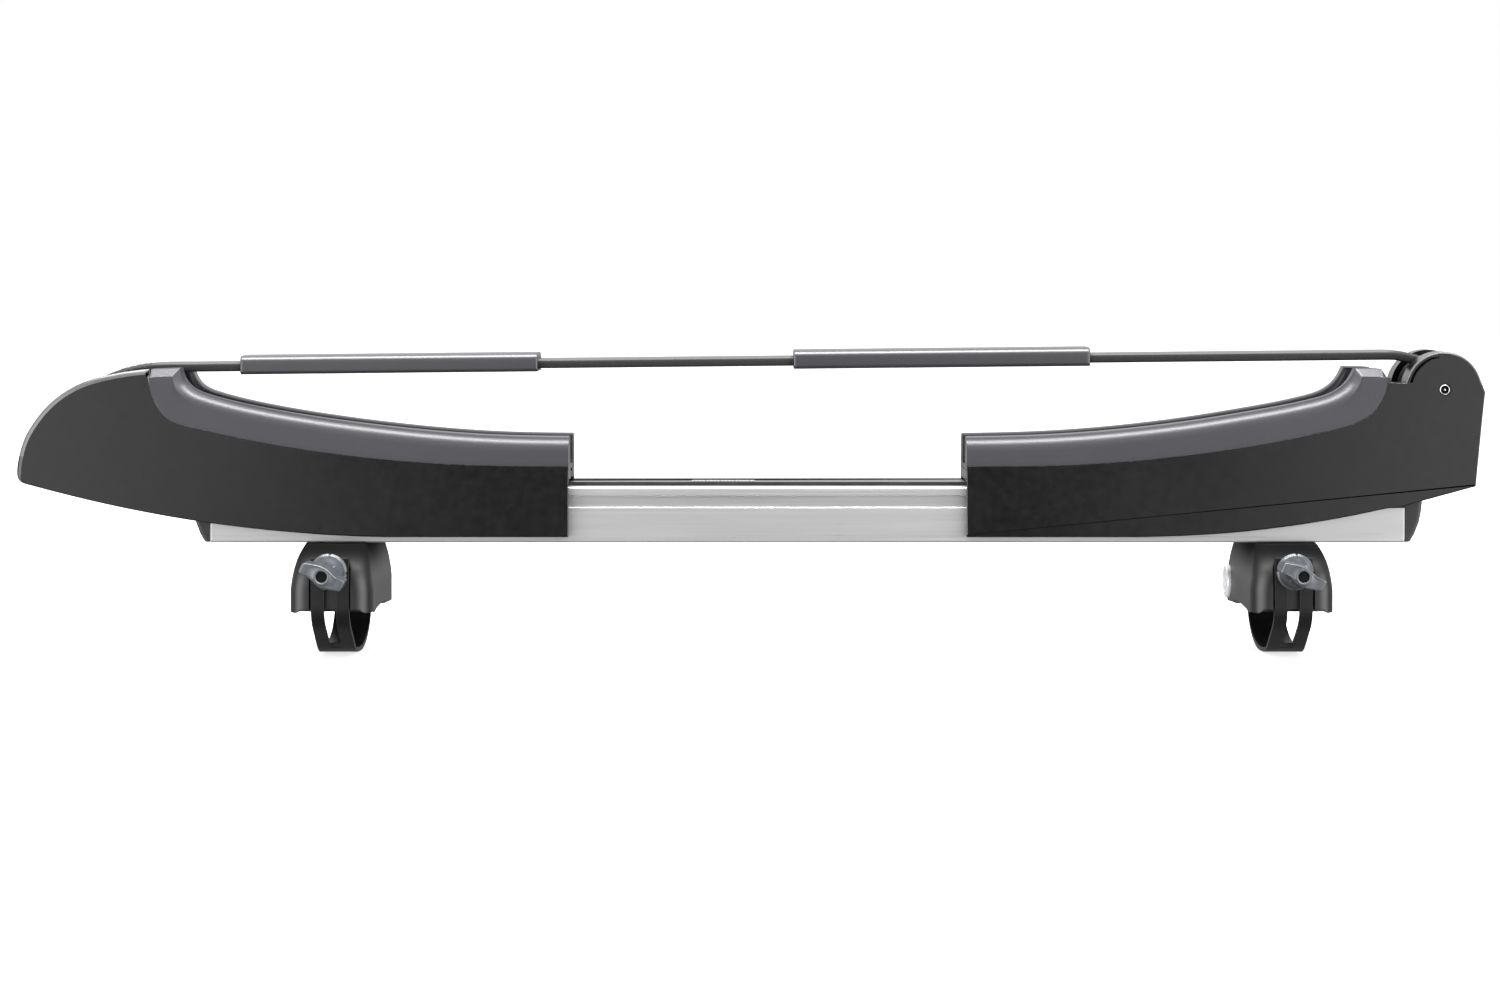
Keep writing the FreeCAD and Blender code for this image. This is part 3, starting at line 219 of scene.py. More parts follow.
def aluminium():
    """Anodised extrusion: drawing lines along X in tone, gloss and relief."""
    m = Material("anodised_aluminium")
    lines = m.noise(scale=700.0, detail=5.0, roughness=0.65, stretch=(0.012, 1.0, 1.0))
    fine = m.noise(scale=2600.0, detail=2.0, stretch=(0.02, 1.0, 1.0))
    clouds = m.noise(scale=5.0)
    color = m.mix(m.remap(lines, MIDDLE), srgb(172, 172, 173), srgb(184, 184, 185))
    color = m.mix(m.remap(clouds, MIDDLE, to=(0.0, 0.5)), color, srgb(190, 190, 191))
    normal = m.bump(lines, strength=0.04, distance=0.0001)
    normal = m.bump(fine, strength=0.04, distance=0.00004, normal=normal)
    return m.output(color, m.remap(lines, MIDDLE, to=(0.27, 0.33)), normal, metallic=0.72,
                    Anisotropic=0.2)


def metal(name, base, light, roughness, metallic=1.0, pits=True):
    """Mottled metal, with darker pits if wanted."""
    m = Material(name)
    mottle = m.noise(scale=220.0, detail=4.0, roughness=0.6)
    color = m.mix(m.remap(mottle, MIDDLE), base, light)
    if pits:
        depth = m.remap(m.voronoi(420.0), span=(0.0, 0.6), to=(0.25, 0.0))
        color = m.mix(depth, color, darker(base, 0.6))
    gloss = m.remap(mottle, MIDDLE, to=(roughness - 0.06, roughness + 0.08))
    return m.output(color, gloss, m.bump(mottle, strength=0.08, distance=0.00008),
                    metallic=metallic)


def rubber_strip():
    """Shiny rubber with faint ribs across Y."""
    m = Material("strip_rubber")
    streaks = m.noise(scale=380.0, detail=4.0, roughness=0.6, stretch=(0.2, 1, 1))
    ribs = m.wave(scale=160.0, direction="Y")
    color = m.mix(m.remap(streaks, MIDDLE), srgb(36, 36, 37), srgb(46, 46, 47))
    normal = m.bump(streaks, strength=0.06, distance=0.00005)
    normal = m.bump(ribs, strength=0.05, distance=0.00005, normal=normal)
    return m.output(color, m.remap(streaks, MIDDLE, to=(0.20, 0.28)), normal)


def webbing():
    """Woven strap: cross ribs, warp lines, painted highlight on the upper side between the two
    ends.
    """
    m = Material("strap_webbing")
    ribs = m.wave(scale=760.0 / 3.14159, direction="X", distortion=0.3)
    warp = m.wave(scale=420.0, direction="Y", distortion=0.4)
    fuzz = m.noise(scale=1500.0, roughness=0.7)
    weave = m.math("MULTIPLY", ribs, m.remap(warp, span=(0.0, 1.0), to=(0.6, 1.0)))
    color = m.mix(m.remap(weave, span=(0.1, 0.9)), grey(5), grey(13))
    # painted highlight: upward faces are made paler, fading out towards both ends
    normal_z = m.split(m.geometry("Normal"))[2]
    x = m.split(m.place)[0]
    painted_top_highlight = m.remap(normal_z, span=(0.30, 0.62))
    right_fade = m.remap(x, span=(0.397, 0.406), to=(1.0, 0.12))
    left_fade = m.remap(x, span=(-0.452, -0.446), to=(0.22, 1.0))
    painted_top_highlight = m.math("MULTIPLY", m.math("MULTIPLY", painted_top_highlight, right_fade), left_fade)
    color = m.mix(painted_top_highlight, color, m.mix(m.remap(fuzz, MIDDLE), grey(62), grey(74)))
    normal = m.bump(weave, strength=0.55, distance=0.00018)
    normal = m.bump(fuzz, strength=0.3, distance=0.00005, normal=normal)
    return m.output(color, m.remap(fuzz, MIDDLE, to=(0.52, 0.68)), normal, specular=0.4)


def thread():
    m = Material("stitch_thread")
    twist = m.wave(scale=1800.0, direction="DIAGONAL")
    color = m.mix(m.remap(twist, span=(0.2, 0.8)), grey(44), srgb(78, 78, 77))
    normal = m.bump(twist, strength=0.5, distance=0.0001)
    return m.output(color, roughness=0.75, normal=normal, specular=0.3)


def knob_plastic():
    """Smooth blue-grey plastic with a painted highlight on its edges."""
    m = Material("knob_plastic")
    clouds = m.noise(scale=30.0)
    grain = m.noise(scale=900.0, detail=4.0, roughness=0.6)
    color = m.mix(m.remap(clouds, MIDDLE), srgb(54, 57, 61), srgb(61, 64, 68))
    # painted highlight: convex edges are made much paler
    edges = m.remap(m.geometry("Pointiness"), span=(0.53, 0.62), to=(0.0, 0.5))
    color = m.mix(edges, color, srgb(140, 144, 149))
    return m.output(color, m.remap(grain, MIDDLE, to=(0.30, 0.36)),
                    m.bump(grain, strength=0.05, distance=0.00003), specular=0.85)


def scale_film():
    """Plain graduated film: tick marks every 2.5 mm, longer ones every 10 mm, no lettering."""
    m = Material("scale_film")
    place = m.split(m.place)

    def ticks(per_metre, width):
        """Marks along X; width is a fraction of the pitch."""
        phase = m.math("FRACT", m.math("MULTIPLY", place[0], per_metre))
        return m.math("LESS_THAN", phase, width)

    fine = ticks(per_metre=400.0, width=0.22)
    coarse = ticks(per_metre=100.0, width=0.07)
    front_edge = m.math("LESS_THAN", place[1], -0.0105)
    marks = m.math("MAXIMUM", m.math("MULTIPLY", fine, front_edge), coarse)
    mottle = m.noise(scale=600.0)
    ground = m.mix(m.remap(mottle, MIDDLE), srgb(150, 151, 152), srgb(164, 165, 166))
    return m.output(m.mix(marks, ground, grey(30)), m.remap(mottle, MIDDLE, to=(0.14, 0.20)),
                    metallic=0.1)


SHELL = moulded("shell_plastic", grey(8), grey(11), roughness=0.20, strength=0.12)
CORE = moulded("core_plastic", srgb(30, 30, 31), srgb(37, 37, 38), roughness=0.5, grain=1800.0,
               strength=0.5)
FOOT = foot_plastic()
BAND = moulded("band_rubber", grey(8), grey(12), roughness=0.42, grain=1500.0, strength=0.5,
               specular=0.3, wear_and_edge_highlight=srgb(24, 24, 25))
# painted highlight: a paler copy of the shell plastic for the rounded rim edge of nose and hub
PAINTED_RIM_HIGHLIGHT = moulded("shell_rim_painted_highlight", srgb(62, 62, 63), srgb(72, 72, 73), roughness=0.30, strength=0.1,
              specular=0.6, waviness=0.0)
# near-black rubber of the knob plugs, also used as painted shade inside the axle bolt's socket
PLUG_AND_SOCKET_SHADE = moulded("plug_rubber_and_socket_shade", grey(4), grey(6), roughness=0.7, grain=900.0, strength=0.5,
               specular=0.12)
CAP = moulded("end_cap_plastic", grey(26), grey(31), roughness=0.36, wear_and_edge_highlight=srgb(60, 60, 61))
ACETAL = moulded("acetal", srgb(206, 204, 196), srgb(222, 220, 212), roughness=0.35,
                 grain=1200.0, strength=0.15)
BUTTON = moulded("button_plastic", srgb(36, 36, 38), srgb(46, 46, 48), roughness=0.42,
                 wear_and_edge_highlight=srgb(96, 96, 98))
PAD = foam("pad_foam", srgb(44, 43, 47), srgb(48, 47, 51), roughness=0.36, specular=0.5,
           grain=900.0)
SLEEVE = foam("sleeve_foam", srgb(27, 26, 31), srgb(31, 30, 35), roughness=0.36, specular=0.9,
              grain=1300.0, relief=0.25)
ALUMINIUM = aluminium()
ZINC = metal("zinc_steel", srgb(176, 178, 180), srgb(198, 200, 203), roughness=0.34)
CHROME = metal("lock_chrome", srgb(224, 225, 228), srgb(240, 240, 242), roughness=0.30,
               metallic=0.35, pits=False)
SPRING = metal("spring_steel", srgb(120, 120, 126), srgb(146, 146, 150), roughness=0.3)
STRIP = rubber_strip()
WEBBING = webbing()
THREAD = thread()
KNOB = knob_plastic()
FILM = scale_film()

# =============================================================================
# curves (millimetres)
# =============================================================================


def lengths(points):
    """Distance along a polyline at each of its points."""
    return np.concatenate([[0.0], np.cumsum(np.linalg.norm(np.diff(points, axis=0), axis=1))])


def cubic(points, spacing=1.5):
    """Dense points of the natural cubic curve through points, chord-length knots."""
    p = np.array(points, float)
    knots = lengths(p)
    count = len(knots)
    h = np.diff(knots)
    matrix = np.zeros((count, count))
    right = np.zeros((count, p.shape[1]))
    matrix[0, 0] = matrix[-1, -1] = 1.0
    for i in range(1, count - 1):
        matrix[i, i - 1], matrix[i, i], matrix[i, i + 1] = h[i - 1], 2 * (h[i - 1] + h[i]), h[i]
        right[i] = 6 * ((p[i + 1] - p[i]) / h[i] - (p[i] - p[i - 1]) / h[i - 1])
    bend = np.linalg.solve(matrix, right)       # second derivatives at the knots
    u = np.linspace(0, knots[-1], max(3, int(round(knots[-1] / spacing)) + 1))
    k = np.clip(np.searchsorted(knots, u, "right") - 1, 0, count - 2)
    d = (u - knots[k])[:, None]
    hk = h[k][:, None]
    slope = (p[k + 1] - p[k]) / hk - hk * (2 * bend[k] + bend[k + 1]) / 6
    return p[k] + d * slope + d ** 2 * bend[k] / 2 + d ** 3 * (bend[k + 1] - bend[k]) / (6 * hk)


def line(points, spacing):
    """Polyline through points, subdivided about every spacing."""
    out = [np.array(points[0], float)]
    for a, b in zip(points[:-1], points[1:]):
        a, b = np.array(a, float), np.array(b, float)
        steps = max(1, int(round(np.linalg.norm(b - a) / spacing)))
        out += [a + (b - a) * i / steps for i in range(1, steps + 1)]
    return np.array(out)


def arc(x, z, radius, start, end, steps):
    """Arc between two angles in degrees."""
    angles = np.radians(np.linspace(start, end, steps + 1))
    return np.stack([x + radius * np.cos(angles), z + radius * np.sin(angles)], 1)


def circle(x, z, radius, sides):
    return arc(x, z, radius, 0, 360, sides)[:-1]


def hexagon(x, z, across_flats):
    return circle(x, z, across_flats / math.sqrt(3.0), 6)


def along(points, fractions):
    """Points of a polyline at the given fractions of its length."""
    p = np.array(points, float)
    distance = lengths(p)
    return np.stack([np.interp(np.array(fractions) * distance[-1], distance, p[:, i])
                     for i in range(p.shape[1])], 1)


def left_normals(p, closed=True):
    """Vectors to the left of travel, lengthened at corners to keep an even offset."""
    longest = 1.7
    edges = np.roll(p, -1, 0) - p if closed else np.diff(p, axis=0)
    edges /= np.maximum(np.linalg.norm(edges, axis=1), 1e-9)[:, None]
    after = np.stack([-edges[:, 1], edges[:, 0]], 1)
    if closed:
        before = np.roll(after, 1, 0)
    else:
        before = np.concatenate([after[:1], after])
        after = np.concatenate([after, after[-1:]])
    vectors = (after + before) / np.maximum((after * before).sum(1) + 1.0, 0.2)[:, None]
    size = np.linalg.norm(vectors, axis=1)[:, None]
    return vectors * np.minimum(1.0, longest / np.maximum(size, 1e-9))


def path_frame(path):
    """Unit tangents and left normals of an open path."""
    tangents = np.gradient(path, axis=0)
    tangents /= np.linalg.norm(tangents, axis=1)[:, None]
    return tangents, np.stack([-tangents[:, 1], tangents[:, 0]], 1)


def smoothstep(t):
    return t * t * (3 - 2 * t)


# =============================================================================
# meshes (millimetres in, metres out)
# =============================================================================


def link_mesh(name, verts, faces, material, merge=1e-6):
    """Makes an object from vertices and faces, cleaned up; merge is in metres."""
    me = bpy.data.meshes.new(name)
    me.from_pydata([tuple(float(c) * MM for c in v) for v in verts], [],
                   [tuple(int(i) for i in f) for f in faces])
    bm = bmesh.new()
    bm.from_mesh(me)
    bmesh.ops.remove_doubles(bm, verts=bm.verts, dist=merge)
    bmesh.ops.dissolve_degenerate(bm, edges=bm.edges, dist=1e-7)
    loose = [v for v in bm.verts if not v.link_faces]
    bmesh.ops.delete(bm, geom=loose, context="VERTS")
    bmesh.ops.recalc_face_normals(bm, faces=bm.faces)
    bm.to_mesh(me)
    bm.free()
    me.materials.append(material)
    ob = bpy.data.objects.new(name, me)
    SCENE.collection.objects.link(ob)
    return ob


def skin(sections, wrap=False):
    """Vertices and faces over equal-length rings, capped unless the last joins the first."""
    n, count = len(sections[0]), len(sections)
    faces = []
    for j in range(count if wrap else count - 1):
        a, b = j * n, ((j + 1) % count) * n
        for i in range(n):
            k = (i + 1) % n
            faces.append((a + i, a + k, b + k, b + i))
    if not wrap:
        faces.append(tuple(range(n))[::-1])
        faces.append(tuple(range((count - 1) * n, count * n)))
    return list(np.concatenate(sections)), faces


def loft(name, sections, material, wrap=False, merge=1e-6):
    return link_mesh(name, *skin(sections, wrap), material, merge)


def turned(profile, angles, x, z):
    """Rings round an axis along Y; profile lists (radius or radii, y)."""
    return [np.stack([x + r * np.cos(angles), np.full(len(angles), y), z + r * np.sin(angles)], 1)
            for r, y in profile]


def prism(name, shape, axis, start, end, material):
    """Extrudes a flat shape along axis; its columns are the other two axes in order."""
    p = np.array(shape, float)
    n = len(p)
    index = "xyz".index(axis)
    verts = np.concatenate([np.insert(p, index, c, axis=1) for c in (start, end)])
    faces = [tuple(range(n)), tuple(range(2 * n - 1, n - 1, -1))]
    faces += [(i, (i + 1) % n, n + (i + 1) % n, n + i) for i in range(n)]
    return link_mesh(name, verts, faces, material)


def carve(ob, tools, operation="DIFFERENCE"):
    """Applies each tool as a boolean, then removes it."""
    for tool in tools:
        mod = ob.modifiers.new("cut", "BOOLEAN")
        mod.operation = operation
        mod.solver = "EXACT"
        mod.object = tool
        bpy.context.view_layer.update()
        graph = bpy.context.evaluated_depsgraph_get()
        result = bpy.data.meshes.new_from_object(ob.evaluated_get(graph))
        old = ob.data
        ob.modifiers.clear()
        ob.data = result
        bpy.data.meshes.remove(old)
        bpy.data.objects.remove(tool)


def add_bevel(ob, width, segments, limit):
    mod = ob.modifiers.new("edge", "BEVEL")
    mod.width = width * MM
    mod.segments = segments
    mod.limit_method = "ANGLE"
    mod.angle_limit = math.radians(limit)
    mod.use_clamp_overlap = True
    return mod


def add_even_normals(ob):
    mod = ob.modifiers.new("normals", "WEIGHTED_NORMAL")
    mod.keep_sharp = True
    return mod


def bevelled(ob, width, segments, limit):
    ob.data.shade_smooth()
    add_bevel(ob, width, segments, limit).miter_outer = "MITER_ARC"
    add_even_normals(ob).weight = 60


def smooth(ob, angle):
    """Smooth shading, sharp over the given angle."""
    ob.data.shade_smooth()
    ob.data.set_sharp_from_angle(angle=math.radians(angle))


def register(ob, node, body):
    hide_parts(node)
    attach(ob, body)


# =============================================================================
# cradle outlines, (x, z)
# =============================================================================
LEFT_BOTTOM = [
    (-538.0, 42.0), (-494.7, 30.8), (-453.9, 21.9), (-413.0, 14.8), (-372.0, 9.6), (-331.0, 6.1),
    (-305.0, 4.8), (-285.0, 4.3)]
LEFT_NOSE = [
    (-538.0, 42.0), (-538.2, 50.0), (-537.0, 58.3), (-535.0, 66.2), (-531.6, 74.5),
    (-527.0, 82.0), (-521.9, 88.8), (-515.6, 95.4), (-508.5, 101.2), (-501.5, 105.6),
    (-494.7, 109.0), (-486.5, 112.0), (-474.3, 115.0), (-460.7, 117.3), (-447.8, 118.7)]
LEFT_DECK = [
    (-447.8, 112.8), (-447.6, 107.2), (-446.4, 101.0), (-443.5, 94.0), (-439.6, 88.2),
    (-434.0, 83.6), (-427.0, 80.6), (-413.1, 77.3), (-399.5, 74.4), (-365.5, 67.6),
    (-324.7, 61.3), (-283.9, 56.7), (-243.1, 53.8), (-202.3, 52.6), (-162.7, 52.4)]
LEFT_PAD_TOP = [
    (-427.7, 119.3), (-426.7, 115.4), (-424.8, 111.2), (-421.6, 107.4), (-417.0, 104.3),
    (-410.4, 101.7), (-394.9, 97.3), (-373.9, 92.7), (-332.2, 85.6), (-290.3, 80.1),
    (-248.5, 75.9), (-206.7, 73.4), (-162.7, 72.6)]
RIGHT_BOTTOM = [
    (225.0, 4.3), (249.2, 4.9), (281.9, 6.7), (314.5, 10.0), (347.1, 14.6), (379.8, 20.7),
    (388.5, 22.6)]
RIGHT_LOW = [(388.5, 22.6), (395.4, 24.0), (403.6, 24.6), (410.4, 26.8), (454.8, 38.8)]
RIGHT_EDGE = [(454.8, 38.8), (457.5, 66.8), (459.1, 83.2), (461.2, 103.0)]
RIGHT_DECK = [
    (108.3, 52.4), (158.1, 52.7), (212.5, 55.3), (239.7, 57.8), (266.9, 61.0), (294.1, 64.8),
    (321.3, 69.5), (348.5, 75.2), (362.1, 78.3), (369.6, 80.6), (376.5, 83.4), (382.5, 87.0),
    (387.3, 91.6), (391.0, 97.6), (393.5, 104.2), (394.6, 110.0), (394.7, 112.9)]
RIGHT_PAD_TOP = [
    (108.3, 72.4), (162.7, 73.8), (218.5, 78.0), (274.2, 85.1), (302.1, 89.7), (330.0, 94.8),
    (343.9, 97.9), (354.0, 100.7), (361.0, 103.9), (366.6, 108.0), (370.8, 113.0),
    (374.0, 119.1)]
LEFT_END_X, RIGHT_END_X = -162.7, 108.3         # the ends that face each other
BASE_Z = 4.3
END_LOW_Z, END_HIGH_Z, DECK_END_Z = 42.2, 49.2, 52.4    # where the rim changes on those ends
RIGHT_WALL_X, RIGHT_WALL_TOP = 394.6, 109.3
HUB_X, HUB_Z, HUB_R = 432.8, 104.5, 26.0        # round top of the right cradle
SPOOL_X, SPOOL_Z = 433.5, 104.6
# screw places (x, z)
LEFT_SCREWS = [(-500.0, 62.0), (-425.0, 56.0), (-350.0, 50.5), (-240.0, 45.9)]
RIGHT_SCREWS = [(215.0, 47.2), (300.0, 54.0), (384.0, 62.0), (447.0, 55.0)]

# =============================================================================
# cradle covers: thin shells with a turned-in rim
# =============================================================================
COVER_Y, COVER_INNER_Y = 32.0, 29.0             # |y| of the side wall's outer and inner face
WALL = COVER_Y - COVER_INNER_Y
NO_RIM = COVER_INNER_Y
FULL_RIM = 0.1                                  # reaches the middle plane
END_RIM = 25.8


def left_cover_runs():
    """Anticlockwise runs seen from the front: (points, |y| the rim reaches, inset, drop).

    Inset and drop are the in-plane and sideways size of the rounded edge.
    """
    nose = cubic(LEFT_NOSE, 2.0)[::-1]          # from the top down to the tip
    rim_change = int(np.argmin(np.abs(nose[:, 0] + 494.5)))
    bottom = cubic(LEFT_BOTTOM, 3.0)
    # soft tip between the nose and the underside
    t = np.linspace(0, 1, 9)[:, None]
    tip = ((1 - t) ** 2 * nose[-4] + 2 * t * (1 - t) * np.array(LEFT_BOTTOM[0])
           + t ** 2 * bottom[2])
    x = LEFT_END_X
    wall_foot, wall_top = LEFT_DECK[0], LEFT_NOSE[-1]
    return [
        (np.concatenate([tip[4:], bottom[3:]]), NO_RIM, 0.8, 0.8),
        (line([LEFT_BOTTOM[-1], (x, BASE_Z)], 8), NO_RIM, 0.8, 0.8),
        (line([(x, BASE_Z), (x, END_LOW_Z)], 5), END_RIM, 0.5, 0.5),
        (line([(x, END_LOW_Z), (x, END_HIGH_Z)], 3), 9.3, 0.5, 0.5),
        (line([(x, END_HIGH_Z), (x, DECK_END_Z)], 3), NO_RIM, 0.4, 0.4),
        (cubic(LEFT_DECK, 2.5)[::-1], NO_RIM, 0.06, 0.06),
        (line([wall_foot, wall_top], 3), NO_RIM, 0.4, 0.4),
        (nose[:rim_change + 1], 13.6, 3.4, 2.0),
        (np.concatenate([nose[rim_change:-4], tip[:5]]), FULL_RIM, 3.2, 2.0),
    ]


def right_cover_runs():
    """Same columns as left_cover_runs."""
    deck = cubic(RIGHT_DECK, 2.5)
    deck = deck[deck[:, 1] < RIGHT_WALL_TOP - 0.4][::-1]
    wall_top = (RIGHT_WALL_X, RIGHT_WALL_TOP)
    # the hub arc starts where a line from the top of the right edge touches the circle
    # and ends at the height of the wall top
    dx, dz = RIGHT_EDGE[-1][0] - HUB_X, RIGHT_EDGE[-1][1] - HUB_Z
    start = math.degrees(math.atan2(dz, dx) + math.acos(HUB_R / math.hypot(dx, dz)))
    end = 180.0 - math.degrees(math.asin((RIGHT_WALL_TOP - HUB_Z) / HUB_R))
    hub = arc(HUB_X, HUB_Z, HUB_R, start, end, 56)
    rim_change = int(np.argmin(np.abs(hub[:, 0] - 449.0)))
    x = RIGHT_END_X
    return [
        (line([(x, DECK_END_Z), (x, END_HIGH_Z)], 3), NO_RIM, 0.4, 0.4),
        (line([(x, END_HIGH_Z), (x, END_LOW_Z)], 3), FULL_RIM, 0.5, 0.5),
        (line([(x, END_LOW_Z), (x, BASE_Z)], 5), END_RIM, 0.5, 0.5),
        (line([(x, BASE_Z), RIGHT_BOTTOM[0]], 8), NO_RIM, 0.8, 0.8),
        (cubic(RIGHT_BOTTOM, 3.0), NO_RIM, 0.8, 0.8),
        (line(RIGHT_LOW, 4), NO_RIM, 0.8, 0.8),
        (line(RIGHT_EDGE[0:2], 6), FULL_RIM, 0.9, 0.9),
        (line(RIGHT_EDGE[1:3], 6), 8.2, 0.9, 0.9),
        (line(RIGHT_EDGE[2:4], 6), FULL_RIM, 0.9, 0.9),
        (line([RIGHT_EDGE[-1], tuple(hub[0])], 3), FULL_RIM, 0.9, 0.9),
        (hub[:rim_change + 1], FULL_RIM, 1.0, 1.0),
        (hub[rim_change:], 16.0, 1.1, 1.1),
        (line([tuple(hub[-1]), wall_top], 4), 16.0, 0.12, 0.12),
        (np.concatenate([[wall_top], deck]), NO_RIM, 0.06, 0.06),
    ]


def join_runs(runs):
    """One closed outline with its values; a close extra point makes each rim step crisp."""
    rows = []
    previous = runs[-1][1]
    for points, rim, inset, drop in runs:
        p = np.array(points, float)
        rows.append((*p[0], previous, inset, drop))
        if previous != rim:
            edge = p[1] - p[0]
            size = np.linalg.norm(edge)
            rows.append((*(p[0] + edge / size * min(0.25, 0.4 * size)), rim, inset, drop))
        rows += [(*q, rim, inset, drop) for q in p[1:-1]]
        previous = rim
    table = np.array(rows)
    return table[:, :2], table[:, 2], table[:, 3], table[:, 4]


def ease(values, reach):
    """Averages a closed list of values over reach neighbours each way."""
    kernel = np.ones(2 * reach + 1) / (2 * reach + 1)
    return np.convolve(np.concatenate([values[-reach:], values, values[:reach]]), kernel, "valid")


def cover_shell(name, runs, side):
    """Cover mesh; side is -1 for the front (-Y) and 1 for the rear."""
    p, rim, inset, drop = join_runs(runs)
    inset, drop = ease(inset, 3), ease(drop, 3)
    inward = left_normals(p)
    inner = p + inward * WALL

    def ring(xz, y):
        return np.stack([xz[:, 0], side * np.broadcast_to(y, (len(xz),)), xz[:, 1]], 1)

    sections = [ring(p + inward * (inset + 0.9)[:, None], COVER_Y),
                ring(p + inward * inset[:, None], COVER_Y),
                ring(p + inward * (inset * 0.35)[:, None], COVER_Y - drop * 0.42),
                ring(p, COVER_Y - drop), ring(p, rim), ring(inner, rim),
                ring(inner, COVER_INNER_Y)]
    return loft(name, sections, SHELL, merge=2e-6)


def cover_cutter(shape, start, end):
    return prism("cutter", shape, "y", start, end, SHELL)


def screw_cutters(places):
    """A counterbore and a through hole for each screw, in a rear cover."""
    cutters = []
    for x, z in places:
        cutters.append(cover_cutter(circle(x, z, 4.1, 36), 30.4, 34))
        cutters.append(cover_cutter(circle(x, z, 2.2, 24), 27, 31))
    return cutters


def crescent():
    """Crescent slot just inside the upper left of the hub."""
    return np.concatenate([arc(HUB_X, HUB_Z, HUB_R - 2.5, 97, 168, 30),
                           arc(HUB_X + 1.25, HUB_Z - 0.85, HUB_R - 2.95, 166, 100, 30)])


def paint_cover(ob):
    """Flat-shades the side wall and gives the rounded edge of nose and hub the paler rim material,
    a painted highlight.
    """
    ob.data.materials.append(PAINTED_RIM_HIGHLIGHT)
    for face in ob.data.polygons:
        center = face.center / MM
        tilt = abs(face.normal.y)
        if tilt > 0.9995 and abs(face.center.y) > 0.0315:
            face.use_smooth = False
        on_nose = center.x < -447.6 and center.z > 60.0 and face.normal.z > 0.05
        from_hub = np.hypot(center.x - HUB_X, center.z - HUB_Z)
        on_hub = (center.x > 392.0 and center.z > RIGHT_WALL_TOP - 0.5
                  and HUB_R - 1.6 < from_hub < HUB_R + 0.03)
        # painted highlight: rim faces of nose and hub take the paler material
        if 0.08 < tilt < 0.965 and abs(center.y) > 29.2 and (on_nose or on_hub):
            face.material_index = 1


def cover(name, runs, side, cutters, node, body):
    ob = cover_shell(name, runs, side)
    carve(ob, cutters)
    bevelled(ob, width=0.3, segments=2, limit=24.0)
    paint_cover(ob)
    register(ob, node, body)


AXLE_HOLE_R = 3.1
cover("left_front_shell", left_cover_runs(), -1.0, [], "left_front_cover", "left_cradle")
cover("left_rear_shell", left_cover_runs(), 1.0, screw_cutters(LEFT_SCREWS),
      "left_rear_cover", "left_cradle")
cover("right_front_shell", right_cover_runs(), -1.0,
      [cover_cutter(crescent(), -34, -28.0),
       cover_cutter(circle(SPOOL_X, SPOOL_Z, 4.5, 40), -34, -31.0),
       cover_cutter(circle(SPOOL_X, SPOOL_Z, AXLE_HOLE_R, 32), -34, -28)],
      "right_front_cover", "rail_frame")
cover("right_rear_shell", right_cover_runs(), 1.0,
      screw_cutters(RIGHT_SCREWS)
      + [cover_cutter(hexagon(SPOOL_X, SPOOL_Z, 8.4), 28.6, 34),
         cover_cutter(circle(SPOOL_X, SPOOL_Z, AXLE_HOLE_R, 32), 27, 34)],
      "right_rear_cover", "rail_frame")

# =============================================================================
# pads: two rounded ridges with a channel between them, on a thin tongue
# =============================================================================
CHANNEL_Y = 13.5                                # half width of the channel
TONGUE_Y = 28.7                                 # half width of the tongue
HUMP_STEPS = 12


def pad_section(top, deck, inward, down, chamfer):
    """Closed section at one station; chamfer 1 flattens the outer corner, 0 rounds it."""
    room = np.linalg.norm(top - deck) / max(np.linalg.norm(inward), 1e-6) - 0.1
    outer = min(5.7 + 4.6 * (1 - chamfer), room)
    inner = min(3.0 + 3.5 * (1 - chamfer), room)
    low = deck + down * WALL
    base = top + inward * outer
    half = [(0.0, low), (14.0, low), (TONGUE_Y, low), (TONGUE_Y, deck + (deck - low) * 0.02),
            (31.7, deck), (COVER_Y, deck + (top - deck) * 0.015)]
    half += [(COVER_Y, deck + (base - deck) * f) for f in (0.33, 0.66)]
    # outer corner of the ridge
    for k in range(13):
        angle, f = math.radians(90.0 * k / 12), k / 12.0
        round_y, round_in = COVER_Y - outer * (1 - math.cos(angle)), outer * (1 - math.sin(angle))
        flat_y, flat_in = COVER_Y - outer * f, outer * (1 - f)
        half.append((round_y * (1 - chamfer) + flat_y * chamfer,
                     top + inward * (round_in * (1 - chamfer) + flat_in * chamfer)))
    half.append((0.5 * (COVER_Y - outer + CHANNEL_Y + inner), top))
    # inner corner of the ridge, down into the channel
    for k in range(9):
        angle = math.radians(90.0 * k / 8)
        half.append((CHANNEL_Y + inner * (1 - math.sin(angle)),
                     top + inward * (inner * (1 - math.cos(angle)))))
    inner_base = top + inward * inner
    half.append((CHANNEL_Y, inner_base + (deck - inner_base) * 0.5))
    # fillet at the channel floor
    fillet = min(2.0, 0.3 * room)
    up = (top - deck) / np.linalg.norm(top - deck)
    for k in range(5):
        angle = math.radians(90.0 * k / 4)
        half.append((CHANNEL_Y - fillet * (1 - math.cos(angle)),
                     deck + up * fillet * (1 - math.sin(angle))))
    half += [(6.0, deck), (0.0, deck)]
    profile = [(-y, p) for y, p in half] + [(y, p) for y, p in half[::-1][1:-1]]
    return np.array([(p[0], y, p[1]) for y, p in profile])


